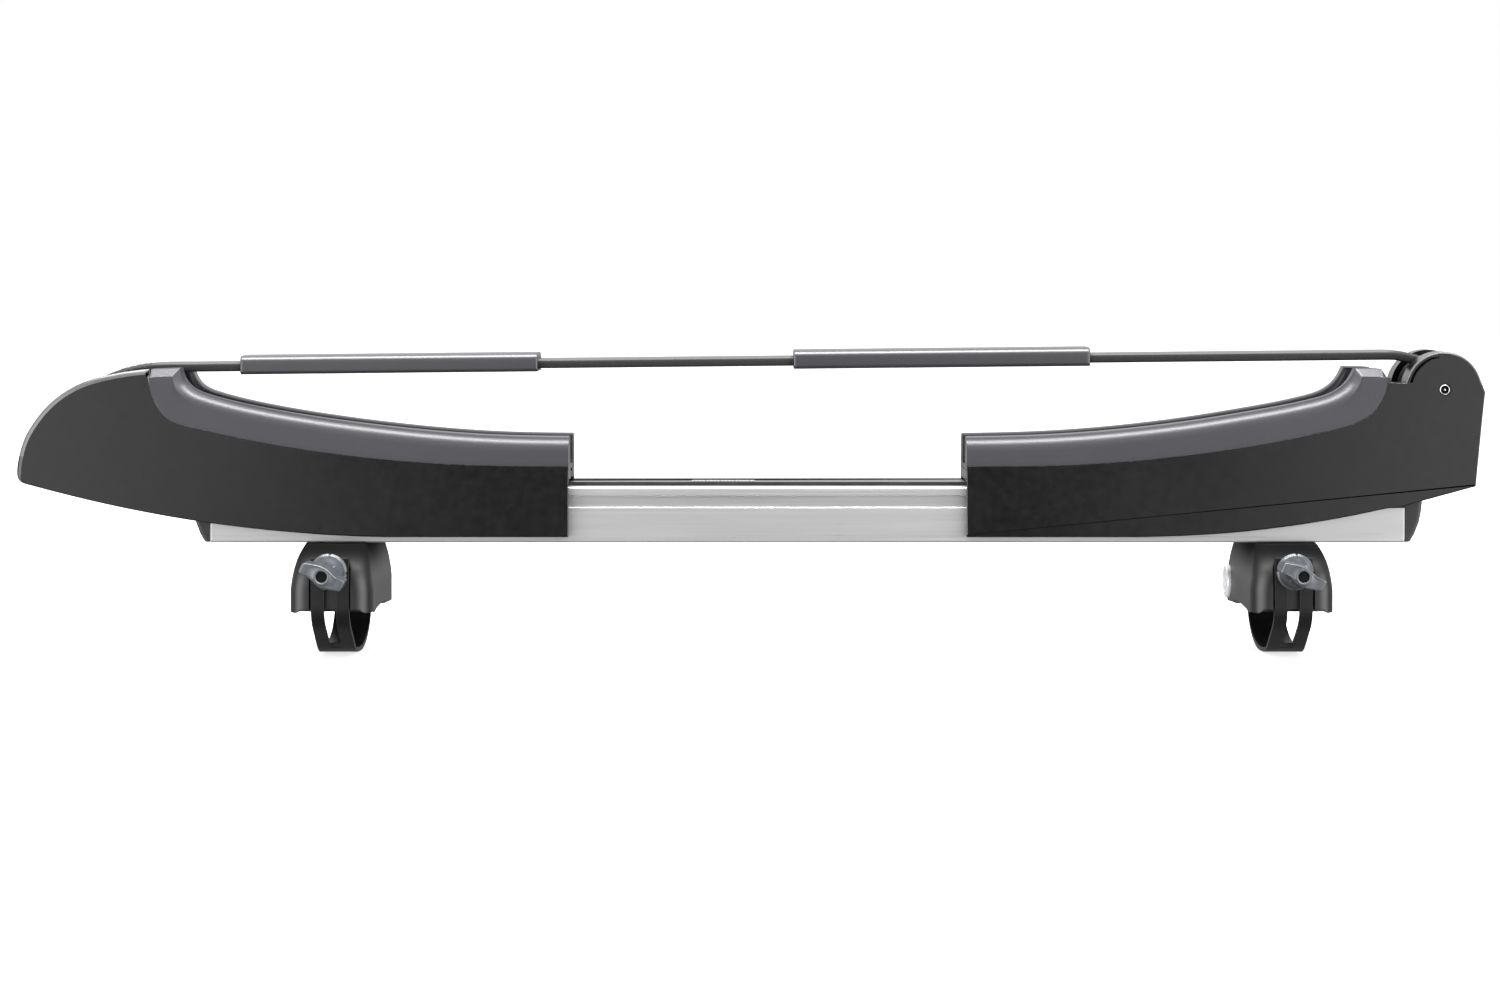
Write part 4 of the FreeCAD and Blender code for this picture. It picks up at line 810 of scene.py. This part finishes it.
def pad(name, deck, hump, top, hump_share, run_steps, node, body):
    """Pad along deck and top, polylines from the outer to the inner end.

    hump is a short polyline over the outer end that stops at top[0]; hump_share is the
    fraction of the deck below it. Each station pairs a deck point with a top point.
    """
    steps = np.linspace(0, 1, run_steps + 1)
    hump_top = along(hump, np.linspace(0, 1, HUMP_STEPS + 1))[:-1]
    run_top = along(top, steps ** 1.12)
    tops = np.concatenate([hump_top, run_top])
    decks = np.concatenate([along(deck, np.linspace(0, hump_share, HUMP_STEPS + 1))[:-1],
                            along(deck, hump_share + (1 - hump_share) * (steps ** 1.05))])
    turn = -1.0 if deck[-1][0] > deck[0][0] else 1.0
    # inward vectors of the top line, stretched towards the hump corner
    hump_end = left_normals(hump_top, False)[-1] * turn
    hump_end /= np.linalg.norm(hump_end)
    run_in = left_normals(run_top, False) * turn
    run_start = run_in[0] / np.linalg.norm(run_in[0])
    corner = (hump_end + run_start) / (1 + hump_end @ run_start)
    distance = np.linalg.norm(run_top - run_top[0], axis=1)
    hump_weight = (np.arange(1, HUMP_STEPS + 1) / HUMP_STEPS)[:, None]
    run_weight = smoothstep(np.maximum(0.0, 1 - distance / 16.0))[:, None]
    inward = np.concatenate([hump_end * (1 - hump_weight) + corner * hump_weight,
                             run_in * (1 - run_weight) + corner * run_weight])
    down = left_normals(decks, False) * turn
    down /= np.linalg.norm(down, axis=1)[:, None]
    chamfer = 1.0 - smoothstep(np.concatenate([np.zeros(HUMP_STEPS),
                                               np.minimum(1.0, distance / 26.0)]))
    ob = loft(name, [pad_section(*s) for s in zip(tops, decks, inward, down, chamfer)], PAD)
    bevelled(ob, width=0.5, segments=3, limit=50.0)
    register(ob, node, body)


pad("left_cradle_pad", cubic(LEFT_DECK, 1.5),
    line([(-447.5, 118.6), (-441.0, 118.95), LEFT_PAD_TOP[0]], 1.0), cubic(LEFT_PAD_TOP, 1.2),
    hump_share=0.105, run_steps=150, node="left_pad", body="left_cradle")
pad("right_cradle_pad", cubic(RIGHT_DECK, 1.5)[::-1],
    line([(391.6, 118.6), (387.0, 119.0), RIGHT_PAD_TOP[-1]], 1.0),
    cubic(RIGHT_PAD_TOP, 1.2)[::-1],
    hump_share=0.115, run_steps=140, node="right_pad", body="rail_frame")

# =============================================================================
# strap, its stitches and its two foam sleeves
# =============================================================================
STRAP_SLOPE = 0.01002
STRAP_Y = 12.5                                  # half width
STRAP_HALF, LOOP_HALF = 3.3, 1.6                # half thickness of the run and of the end loop


def strap_z(x):
    """Centre height of the straight run."""
    return 119.2 + STRAP_SLOPE * (x + 443.0)


STRAP_RISE = cubic([
    (-496.8, 92.8), (-495.6, 99.0), (-491.4, 103.9), (-486.0, 107.8), (-480.0, 111.1),
    (-473.0, 113.9), (-466.0, 116.0), (-459.0, 117.6), (-451.0, 118.7), (-443.0, 119.2),
    (-430.0, strap_z(-430.0)), (-415.0, strap_z(-415.0))], 1.6)


def strap_profile(h):
    """(y, offset) of a rounded section of half thickness h with a broad upper chamfer."""
    w = STRAP_Y
    top, low = min(2.2, 0.62 * h), min(1.0, 0.35 * h)
    return [(-w, -h + low), (-w + 0.3 * low, -h + 0.3 * low), (-w + low, -h), (-w * 0.5, -h),
            (0, -h), (w * 0.5, -h), (w - low, -h), (w - 0.3 * low, -h + 0.3 * low),
            (w, -h + low), (w, 0), (w, h - top), (w - 0.18 * top, h - 0.55 * top),
            (w - 0.55 * top, h - 0.18 * top), (w - top * 1.1, h), (w * 0.5, h), (0, h),
            (-w * 0.5, h), (-w + top * 1.1, h), (-w + 0.55 * top, h - 0.18 * top),
            (-w + 0.18 * top, h - 0.55 * top), (-w, h - top), (-w, 0)]


def strap():
    """Loop round the left pin, rise, straight run, and a wrap round the spool."""
    loop = arc(-492.0, 93.0, 4.8, 40, -178, 26)
    run = line([(-415.0, strap_z(-415.0)), (385.0, strap_z(385.0))], 4.0)
    wrap = arc(SPOOL_X, SPOOL_Z, 15.65, 76, -205, 90)
    descent = cubic([(385.0, strap_z(385.0)), (392.0, strap_z(392.0)),
                     (399.0, strap_z(399.0) - 0.05), (405.5, 127.3), (412.0, 126.1),
                     (419.0, 124.4), (428.0, 122.2), tuple(wrap[0])], 1.2)
    path = np.concatenate([loop[:-1], STRAP_RISE[:-1], run[:-1], descent[:-1], wrap])
    normals = path_frame(path)[1]
    sections = []
    for i, (p, normal) in enumerate(zip(path, normals)):
        swell = smoothstep(np.clip((i - len(loop)) / 14.0, 0, 1))
        profile = strap_profile(LOOP_HALF + (STRAP_HALF - LOOP_HALF) * swell)
        sections.append(np.array([(p[0] + normal[0] * o, y, p[1] + normal[1] * o)
                                  for y, o in profile]))
    ob = loft("tie_down_webbing", sections, WEBBING)
    smooth(ob, angle=50.0)
    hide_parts("tie_down_strap")
    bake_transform(ob)


def stitches():
    """Lock stitches on the left rise: a row near each edge on top, and one on each side."""
    tangents, normals = path_frame(STRAP_RISE)
    span = [i for i in range(len(STRAP_RISE)) if -471.5 < STRAP_RISE[i][0] < -454.0]
    picks = np.linspace(0, len(span) - 1, 8).astype(int)
    around = np.radians(np.arange(8) * 45.0)[:, None]
    across = np.array([0.0, 1.0, 0.0])
    verts, faces = [], []
    for row in (-12.55, -9.2, 9.2, 12.55):
        on_side = abs(row) > 12
        for i in (span[j] for j in picks):
            forward = np.array([tangents[i][0], 0, tangents[i][1]])
            up = np.array([normals[i][0], 0, normals[i][1]])
            center = np.array([STRAP_RISE[i][0], row, STRAP_RISE[i][1]])
            center = center + up * (1.0 if on_side else STRAP_HALF)
            outward = across * math.copysign(1, row) if on_side else up
            rings = []
            for u in np.linspace(-1, 1, 7):
                radius = 0.34 * math.sqrt(max(0.0, 1 - (abs(u) ** 3))) + 0.02
                bow = 0.12 * (1 - u * u) - 0.16
                rings.append(center + forward * u * 0.95 + outward * bow
                             + up * radius * np.cos(around) + across * radius * np.sin(around))
            stitch_verts, stitch_faces = skin(rings)
            faces += [tuple(len(verts) + k for k in face) for face in stitch_faces]
            verts += stitch_verts
    ob = link_mesh("strap_stitching", verts, faces, THREAD)
    smooth(ob, angle=60.0)
    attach(ob, "left_cradle")


def sleeve_section(low, high, half_width, top_radius, low_radius):
    """Rounded rectangle (y, z) about the strap's centre."""
    corners = []
    for side, z_sign, radius, start in ((1, 1, top_radius, 0), (-1, 1, top_radius, 90),
                                        (-1, -1, low_radius, 180), (1, -1, low_radius, 270)):
        z = high - radius if z_sign > 0 else low + radius
        corners.append(arc(side * (half_width - radius), z, radius, start, start + 90.0, 9))
    return np.concatenate(corners)


def sleeve(name, x0, x1, node, body, phase):
    """Foam tube round the strap, faintly uneven along its length, open at both ends."""
    slope = math.atan(STRAP_SLOPE)
    middle_x = 0.5 * (x0 + x1)
    middle_z = strap_z(middle_x)
    length = x1 - x0
    outer = sleeve_section(-5.4, 7.6, half_width=17.0, top_radius=5.4, low_radius=2.6)
    bore = sleeve_section(-3.7, 3.7, half_width=12.9, top_radius=1.2, low_radius=1.2)

    def ring(section, u, shrink):
        """The section, shrunk towards its middle, at distance u from the left end."""
        center = np.array([0.0, 1.1])
        spokes = section - center
        size = np.linalg.norm(spokes, axis=1)[:, None]
        y, z = (center + spokes * (1 - shrink / np.maximum(size, 1e-6))).T
        x = -length / 2 + u
        return np.stack([middle_x + x * math.cos(slope) - z * math.sin(slope), y,
                         middle_z + x * math.sin(slope) + z * math.cos(slope)], 1)

    lip = [(0.0, 1.3), (0.25, 0.55), (0.7, 0.15), (1.3, 0.0)]       # (distance, shrink)
    uneven = [(u, 0.05 * (1 + math.sin(u * 0.11 + phase) * math.cos(u * 0.047 + 2 * phase)))
              for u in np.linspace(3.0, length - 3.0, 70)]
    far_lip = [(length - u, shrink) for u, shrink in lip[::-1]]
    inside = [(length, -0.5), (length - 0.5, -0.15), (length - 1.5, 0.0), (length * 0.5, 0.0),
              (1.5, 0.0), (0.5, -0.15), (0.0, -0.5)]
    sections = [ring(outer, *station) for station in lip + uneven + far_lip]
    sections += [ring(bore, *station) for station in inside]
    ob = loft(name, sections, SLEEVE, wrap=True)
    smooth(ob, angle=50.0)
    register(ob, node, body)


strap()
stitches()
sleeve("left_strap_sleeve", -388.9, -184.8, "strap_sleeve_left", "sleeve_left", phase=0.4)
sleeve("right_strap_sleeve", -9.4, 194.1, "strap_sleeve_right", "sleeve_right", phase=1.7)

# =============================================================================
# foot housings: hollow bells with an arched front recess and scalloped skirts
# =============================================================================
LEFT_FOOT_X, RIGHT_FOOT_X = -321.0, 326.0
CLAMP_Z = -16.0                                 # height of the knob's axis
# (z, half width in x, reach to the front, reach to the rear, corner radius)
FOOT_FORM = cubic([
    (-0.1, 20.8, 36.0, 54.0, 8.0), (-4.0, 22.4, 46.0, 57.0, 9.5), (-9.0, 24.2, 53.0, 58.8, 10.8),
    (-15.0, 25.8, 57.4, 59.6, 11.6), (-22.0, 27.1, 59.4, 60.0, 12.0),
    (-30.0, 28.0, 60.0, 60.0, 12.0), (-38.0, 28.0, 60.0, 60.0, 12.0),
    (-46.0, 28.0, 60.0, 60.0, 12.0)], 0.5)[::-1]
FOOT_LEVELS = [-0.1, -0.6, -1.3, -2.2, -3.2, -4.4, -5.7, -7.0, -8.4, -9.8, -11.3, -13.0, -14.8,
               -16.7, -18.7, -20.8, -23.0, -25.3, -27.6, -30.0]
# lower edge of the skirt: (y, z) along the sides, (|x|, z) across the front
SKIRT_SIDE = np.array([
    (-61.0, -43.4), (-49.0, -43.6), (-45.6, -45.4), (-40.5, -45.6), (-36.5, -44.7),
    (-28.0, -43.9), (-10.0, -43.4), (13.0, -43.4), (17.5, -43.9), (21.0, -45.7), (28.0, -46.3),
    (45.0, -47.5), (61.0, -47.5)])
SKIRT_FRONT = np.array([(0.0, -41.9), (20.2, -42.0), (21.4, -43.4), (23.0, -44.4),
                        (27.5, -44.4)])


def foot_ring(z, grow, front=99.0, rear=99.0):
    """Rounded (x, y) section of the bell; grow < 0 shrinks it, front and rear limit it."""
    half_x, front_y, rear_y, radius = (float(np.interp(z, FOOT_FORM[:, 0], FOOT_FORM[:, i]))
                                       for i in (1, 2, 3, 4))
    half_x = min(half_x, 28.0) + grow
    front_y = min(min(front_y, 60.0) + grow, front)
    rear_y = min(min(rear_y, 60.0) + grow, rear)
    r = max(3.0, radius + grow)
    corners = []
    for x, y, start in ((half_x - r, rear_y - r, 0), (-half_x + r, rear_y - r, 90),
                        (-half_x + r, -front_y + r, 180), (half_x - r, -front_y + r, 270)):
        angles = [math.radians(start + 90 * k / 14) for k in range(15)]
        corners.append([(x + r * math.cos(a), y + r * math.sin(a)) for a in angles])
    points = []
    for i, corner in enumerate(corners):
        p, q = np.array(corner[-1]), np.array(corners[(i + 1) % 4][0])
        steps = 24 if i in (0, 2) else 30
        points += corner + [tuple(p + (q - p) * k / steps) for k in range(1, steps)]
    return np.array(points)


def skirt_z(x, y):
    side = np.interp(y, *SKIRT_SIDE.T)
    if y > -47.6:
        return side
    front = np.interp(abs(x), *SKIRT_FRONT.T)
    weight = np.clip((-47.6 - y) / 3.0, 0.0, 1.0)
    return side * (1 - weight) + front * weight


def foot_sections(foot_x):
    """Rings down the outside, round the skirt's edge and up the inside."""
    def level(points, z):
        return np.stack([points[:, 0] + foot_x, points[:, 1],
                         np.broadcast_to(z, (len(points),))], 1)

    sections = [level(foot_ring(z, 0.0), z) for z in FOOT_LEVELS]
    outer = foot_ring(-40.0, 0.0)
    low = np.array([skirt_z(x, y) for x, y in outer])
    sections += [level(outer, -30.0 + (low + 30.0) * f) for f in (0.2, 0.4, 0.6, 0.78, 0.9, 0.965)]
    sections += [level(foot_ring(-40.0, grow), low + lift)
                 for grow, lift in ((-0.12, 0.12), (-0.5, 0.0))]
    hollow = {"front": 47.0, "rear": 38.0}
    sections.append(level(foot_ring(-40.0, -3.0, **hollow), low))
    sections += [level(foot_ring(z, -3.2, **hollow), z)
                 for z in (-40.0, -30.0, -22.0, -15.0, -11.0, -7.0)]
    return sections


def foot(name, x, node, lock):
    ob = loft(name, foot_sections(x), FOOT)

    def tool(shape, axis, start, end):
        return prism("cutter", shape, axis, start, end, FOOT)

    # web across the middle of the hollow
    carve(ob, [tool([(x - 23.8, -34.0), (x + 23.8, -34.0), (x + 21.2, -12.0), (x + 19.0, -6.5),
                     (x - 19.0, -6.5), (x - 21.2, -12.0)], "y", -1.5, 1.5)], "UNION")
    cutters = []
    # two upright bolt holes, widened below
    for offset in (-14.0, 14.0):
        cutters.append(tool(circle(x + offset, 0.0, 6.6, 32), "z", -36.0, -7.02))
        cutters.append(tool(circle(x + offset, 0.0, 3.1, 24), "z", -10.0, 2.0))
    # arched recess and stud hole in the front
    arch = np.concatenate([[(x - 14.0, -60.0), (x + 14.0, -60.0)],
                           arc(x, -17.0, 14.0, 0, 180, 40)])
    cutters.append(tool(arch, "y", -70.0, -54.8))
    cutters.append(tool(circle(x, CLAMP_Z, 3.1, 32), "y", -60.0, -40.0))
    # square notch in the rear, with a bore along X through it
    cutters.append(tool([(x - 13.5, -60.0), (x + 13.5, -60.0), (x + 13.5, -20.0),
                         (x - 13.5, -20.0)], "y", 43.2, 70.0))
    cutters.append(tool(circle(52.0, -30.0, 3.02, 28), "x", x - 17.6, x + 17.6))
    if lock:
        # lug on the left side for the lock, with a barrel bore and a bezel seat
        def disc(radius, sides, start, end):
            return tool(circle(43.0, -33.5, radius, sides), "x", x + start, x + end)

        carve(ob, [disc(10.4, 48, -24.6, -14.5)], "UNION")
        cutters += [disc(8.5, 48, -40.0, -17.9), disc(11.55, 56, -40.0, -26.4)]
    carve(ob, cutters)
    bevelled(ob, width=0.35, segments=2, limit=42.0)
    register(ob, node, "rail_frame")


foot("left_foot_bell", LEFT_FOOT_X, "foot_housing_left", lock=False)
foot("right_foot_bell", RIGHT_FOOT_X, "foot_housing_right", lock=True)

# =============================================================================
# clamp knobs: one form that grows from a flanged dome into an S-shaped wing
# =============================================================================
# one arm of the wing's face, seen along the axis; the other is its half turn
WING_ARM = [
    (5.2, 4.9), (7.4, 4.0), (9.6, 3.45), (12.0, 3.45), (14.2, 3.75), (15.1, 3.3), (15.35, 2.0),
    (15.3, 0.0), (15.2, -2.2), (14.8, -3.5), (13.6, -4.1), (11.2, -4.7), (8.6, -5.4),
    (6.2, -6.0), (3.4, -6.35), (0.6, -6.3), (-2.2, -5.9)]


def wing_radius(degrees):
    """Polar outline of the wing face."""
    points = np.array(WING_ARM + [(-x, -y) for x, y in WING_ARM])
    dense = along(np.concatenate([points, points[:1]]), np.linspace(0, 1, 900))[:-1]
    angle = np.degrees(np.arctan2(dense[:, 1], dense[:, 0])) % 360
    radius = np.linalg.norm(dense, axis=1)
    order = np.argsort(angle)
    return np.interp(degrees % 360, angle[order], radius[order], period=360)


def knob(name, x, node, body):
    count = 144
    degrees = np.arange(count) * 360.0 / count
    wing = wing_radius(degrees)
    notch = np.zeros(count)                     # four small notches in the flange
    for place in (20.0, 110.0, 200.0, 290.0):
        away = (degrees - place + 180) % 360 - 180
        notch += 0.75 * np.exp(-(away / 3.2) ** 2)
    # flange, as (radius, y)
    profile = [(3.05, -62.0), (11.6 - notch, -62.0), (12.15 - notch, -62.25),
               (12.4 - notch, -63.0), (12.4 - notch, -64.4), (12.15 - notch * 0.9, -65.1),
               (11.7 - notch * 0.5, -65.4), (11.35, -65.6)]
    # dome turning into the wing
    for y in np.linspace(-66.2, -95.8, 24):
        f = (-66.2 - y) / 29.7
        dome = 10.7 - 4.2 * (1 - math.cos(min(1.0, f * 1.5) * math.pi)) / 2
        share = smoothstep(np.clip((f - 0.06) / 0.46, 0, 1))
        waist = 1.0 - 0.035 * math.sin(math.pi * np.clip((f - 0.4) / 0.6, 0, 1))
        profile.append((dome * (1 - share) + wing * waist * share, y))
    # rounded edge, face, raised ring and the bore
    profile += [(wing - 0.22, -96.15), (wing - 0.5, -96.4), (wing - 0.85, -96.57),
                (wing - 1.25, -96.65)]
    inner = np.minimum(wing - 1.7, 6.6)
    profile += [(inner * 0.45 + (wing - 1.25) * 0.55, -96.45), (np.minimum(inner, 6.2), -96.45),
                (np.minimum(inner, 5.6) * 0.985, -96.9), (4.75, -97.0), (4.1, -96.95),
                (3.8, -96.7), (3.8, -93.9), (3.05, -93.85)]
    tilted = np.radians(degrees) + math.radians(-24.5)
    ob = loft(name, turned(profile, tilted, x, CLAMP_Z), KNOB, wrap=True)
    smooth(ob, angle=55.0)
    register(ob, node, body)


knob("left_clamp_wing", LEFT_FOOT_X, "clamp_knob_left", "knob_left")
knob("right_clamp_wing", RIGHT_FOOT_X, "clamp_knob_right", "knob_right")

# =============================================================================
# spool axle: turned bolt with a hexagon socket and a centre pin
# =============================================================================


def axle_bolt():
    count = 48
    angles = np.radians(np.arange(count) * 360.0 / count)
    sixth = math.pi / 3
    socket = 2.35 / np.cos((angles + sixth / 2) % sixth - sixth / 2)
    # (radius, y) from the rear end to the head, into the socket and up the pin
    profile = [(2.7, 31.4), (3.0, 31.0), (3.0, -30.85), (3.55, -30.9), (3.6, -31.2),
               (3.5, -31.9), (3.4, -32.25), (3.25, -32.42), (3.05, -32.5), (2.85, -32.4),
               (socket, -32.1), (socket, -30.6), (0.8, -30.55), (0.8, -32.1), (0.65, -32.3),
               (0.3, -32.38)]
    ob = loft("spool_axle_bolt", turned(profile, angles, SPOOL_X, SPOOL_Z), ZINC)
    # painted shade: the inside of the socket takes the near-black plug material
    ob.data.materials.append(PLUG_AND_SOCKET_SHADE)
    for face in ob.data.polygons:
        radius = math.hypot(face.center.x / MM - SPOOL_X, face.center.z / MM - SPOOL_Z)
        if 0.85 < radius < 2.8 and -32.3 < face.center.y / MM < -30.0:
            face.material_index = 1
    smooth(ob, angle=40.0)
    register(ob, "spool_axle", "rail_frame")


axle_bolt()

# =============================================================================
# carried-over nodes: materials, softened edges, even normals
# =============================================================================
# node: (material, bevel width, bevel segments)
FINISH = {
    "rail": (ALUMINIUM, 0.55, 3), "rail_slot_strip": (STRIP, 0.25, 2),
    "width_scale_plate": (FILM, 0.08, 1), "left_cover_screws": (ZINC, 0.2, 2),
    "right_cover_screws": (ZINC, 0.2, 2), "left_core": (CORE, 0, 0), "right_core": (CORE, 0, 0),
    "glide_shoes": (ACETAL, 0.3, 2), "strap_anchor_pin": (ZINC, 0.3, 2),
    "width_latch_button": (BUTTON, 0.5, 2), "width_latch_pawl": (ACETAL, 0.15, 1),
    "width_latch_spring": (SPRING, 0, 0), "right_core_bolts": (ZINC, 0.25, 2),
    "rail_slot_nuts": (ZINC, 0.4, 2), "strap_spool": (BUTTON, 0.25, 2),
    "spool_axle": (ZINC, 0.15, 2), "spool_axle_nut": (ZINC, 0.3, 2),
    "retractor_spring": (SPRING, 0, 0), "ratchet_pawl": (ZINC, 0.2, 2),
    "pawl_pin": (ZINC, 0.2, 1), "release_button": (BUTTON, 0.7, 3),
    "release_spring": (SPRING, 0, 0), "foot_rail_bolts": (ZINC, 0.3, 2),
    "foot_rail_nuts": (ZINC, 0.3, 2), "foot_lock_bezel": (CHROME, 0.3, 2),
    "foot_lock_barrel": (CHROME, 0.25, 2), "tie_down_strap": (WEBBING, 0, 0),
    "left_pad": (PAD, 0, 0), "right_pad": (PAD, 0, 0), "left_front_cover": (SHELL, 0, 0),
    "left_rear_cover": (SHELL, 0, 0), "right_front_cover": (SHELL, 0, 0),
    "right_rear_cover": (SHELL, 0, 0),
}
# the same for nodes that come as name_left and name_right
PAIR_FINISH = {
    "rail_end_cap": (CAP, 0.9, 3), "foot_housing": (FOOT, 0.9, 3),
    "foot_saddle": (STRIP, 0.8, 2), "knob_plug": (PLUG_AND_SOCKET_SHADE, 0.3, 2), "clamp_band": (BAND, 0.5, 2),
    "band_pin": (ZINC, 0.3, 2), "clamp_stud": (ZINC, 0.3, 2), "clamp_knob": (KNOB, 0, 0),
    "strap_sleeve": (SLEEVE, 0, 0),
}
for pair_name, finish in PAIR_FINISH.items():
    for side_name in ("left", "right"):
        FINISH[f"{pair_name}_{side_name}"] = finish


def finish_node(ob, material, bevel, segments):
    me = ob.data
    me.materials.clear()
    me.materials.append(material)
    if "custom_normal" in me.attributes:
        me.attributes.remove(me.attributes["custom_normal"])
    me.shade_smooth()
    if ob.hide_render:
        return
    ob.modifiers.new("weld", "WELD").merge_threshold = 1.5e-5
    if bevel:
        planar = ob.modifiers.new("planar", "DECIMATE")
        planar.decimate_type = "DISSOLVE"
        planar.angle_limit = math.radians(0.6)
        add_bevel(ob, bevel, segments, limit=38)
        normals = add_even_normals(ob)
        normals.weight = 60
        normals.keep_sharp = False
    else:
        me.set_sharp_from_angle(angle=math.radians(35))
        add_even_normals(ob)


for node_name, node_object in NODE.items():
    finish_node(node_object, *FINISH[node_name])

# =============================================================================
# stage: floor, light, camera (metres)
# =============================================================================


def floor():
    """Pale floor for the camera; reflections and bounces look past it into the studio."""
    z = -0.0775
    me = bpy.data.meshes.new("floor")
    me.from_pydata([(-6, -5, z), (6, -5, z), (6, 9, z), (-6, 9, z)], [], [(0, 1, 2, 3)])
    ob = bpy.data.objects.new("floor", me)
    SCENE.collection.objects.link(ob)
    m = Material("floor_pale")
    clouds = m.remap(m.noise(scale=3.0, detail=2.0), MIDDLE)
    m.output(m.mix(clouds, (0.50, 0.50, 0.50, 1), (0.53, 0.53, 0.53, 1)), roughness=0.8,
             specular=0.1, Emission_Color=(1, 1, 1, 1), Emission_Strength=0.72)
    camera_ray = m.add("ShaderNodeLightPath").outputs["Is Camera Ray"]
    clear = m.add("ShaderNodeBsdfTransparent").outputs[0]
    choice = m.add("ShaderNodeMixShader", {0: camera_ray, 1: clear, 2: m.shader.outputs[0]})
    m.feed(m.tree.nodes["Material Output"].inputs["Surface"], choice.outputs[0])
    me.materials.append(m.material)


def curve(nodes, value, span, points):
    """Smooth function of value through (position, height) pairs."""
    low, high = span
    peak = max(p[1] for p in points)
    node = nodes.add("ShaderNodeFloatCurve", {"Value": nodes.remap(value, span)})
    knots = node.mapping.curves[0].points
    places = [((x - low) / (high - low), y / peak) for x, y in points]
    knots[0].location, knots[1].location = places[0], places[-1]
    for place in places[1:-1]:
        knots.new(*place)
    for knot in knots:
        knot.handle_type = "AUTO"
    node.mapping.update()
    return nodes.math("MULTIPLY", node.outputs[0], peak)


def studio():
    """Light by direction: azimuth is 0 at the front (-Y) and 180 at the back, mirrored in X."""
    world = bpy.data.worlds.new("studio")
    SCENE.world = world
    world.use_nodes = True
    nodes = Nodes(world.node_tree)
    nodes.tree.nodes.clear()
    x, y, z = nodes.split(nodes.add("ShaderNodeTexCoord").outputs["Generated"])
    turn = nodes.math("ARCTAN2", x, nodes.math("MULTIPLY", y, -1.0))
    azimuth = nodes.math("MULTIPLY", nodes.math("ABSOLUTE", turn), 180 / math.pi)
    elevation = nodes.math("MULTIPLY", nodes.math("ARCSINE", z), 180 / math.pi)
    round_span, height_span = (0, 180), (-90, 90)
    # (degrees, strength)
    sides = curve(nodes, azimuth, round_span, [
        (0, 0.03), (6, 0.06), (9, 0.45), (12, 1.5), (18, 1.8), (27, 1.9), (36, 4.0), (50, 5.2),
        (68, 4.2), (84, 1.0), (100, 0.2), (130, 0.15), (160, 0.1), (180, 0.08)])
    height_gain = curve(nodes, elevation, height_span, [
        (-90, 0.4), (-25, 0.6), (-8, 1.0), (8, 1.0), (25, 1.0), (45, 1.0), (60, 1.0), (75, 1.0),
        (90, 0.9)])
    # away from the horizon the azimuth pattern fades into an even dome
    dome_share = curve(nodes, elevation, height_span, [
        (-90, 0.9), (-40, 0.7), (-14, 0.0), (14, 0.0), (32, 0.5), (55, 1.0), (90, 1.0)])
    dome_strength = 0.32
    pattern = nodes.add("ShaderNodeMix", {0: dome_share, 2: sides, 3: dome_strength},
                        data_type="FLOAT").outputs[0]
    radiance = nodes.math("MULTIPLY", pattern, height_gain)
    # a pale wall at the back, mostly above the horizon
    wall_round = curve(nodes, azimuth, round_span, [(0, 0.0), (95, 0.0), (125, 1.0), (180, 1.0)])
    wall_height = curve(nodes, elevation, height_span, [
        (-90, 0.1), (-30, 0.3), (-4, 0.35), (3, 0.7), (22, 1.0), (38, 1.8), (60, 1.8),
        (76, 1.0), (90, 0.4)])
    radiance = nodes.math("ADD", radiance, nodes.math("MULTIPLY", wall_round, wall_height))
    # the camera sees plain white instead
    light, plain = (nodes.add("ShaderNodeBackground",
                              {"Color": (1, 1, 1, 1), "Strength": strength}).outputs[0]
                    for strength in (radiance, 1.0))
    camera_ray = nodes.add("ShaderNodeLightPath").outputs["Is Camera Ray"]
    choice = nodes.add("ShaderNodeMixShader", {0: camera_ray, 1: light, 2: plain})
    nodes.add("ShaderNodeOutputWorld", {0: choice.outputs[0]})


def strip_light():
    """Long overhead light, slightly to the front."""
    place, target = Vector((0.0, -0.62, 2.35)), Vector((0, 0, 0.05))
    light = bpy.data.lights.new("strip_light", "AREA")
    light.shape = "RECTANGLE"
    light.size = 3.4
    light.size_y = 0.7
    light.energy = 230.0
    ob = bpy.data.objects.new("strip_light", light)
    ob.location = place
    ob.rotation_euler = (target - place).to_track_quat("-Z", "Y").to_euler()
    SCENE.collection.objects.link(ob)


def camera():
    """Level camera in front, looking along +Y."""
    data = bpy.data.cameras.new("camera")
    data.sensor_width = 36.0
    data.lens = 70.6
    data.shift_x = -0.0117
    data.shift_y = -0.154
    ob = bpy.data.objects.new("camera", data)
    ob.location = (-0.0272, -2.033, 0.1895)
    ob.rotation_euler = (math.radians(90), 0, 0)
    SCENE.collection.objects.link(ob)
    SCENE.camera = ob


floor()
studio()
strip_light()
camera()
SCENE.view_settings.view_transform = "Standard"
SCENE.view_settings.look = "None"
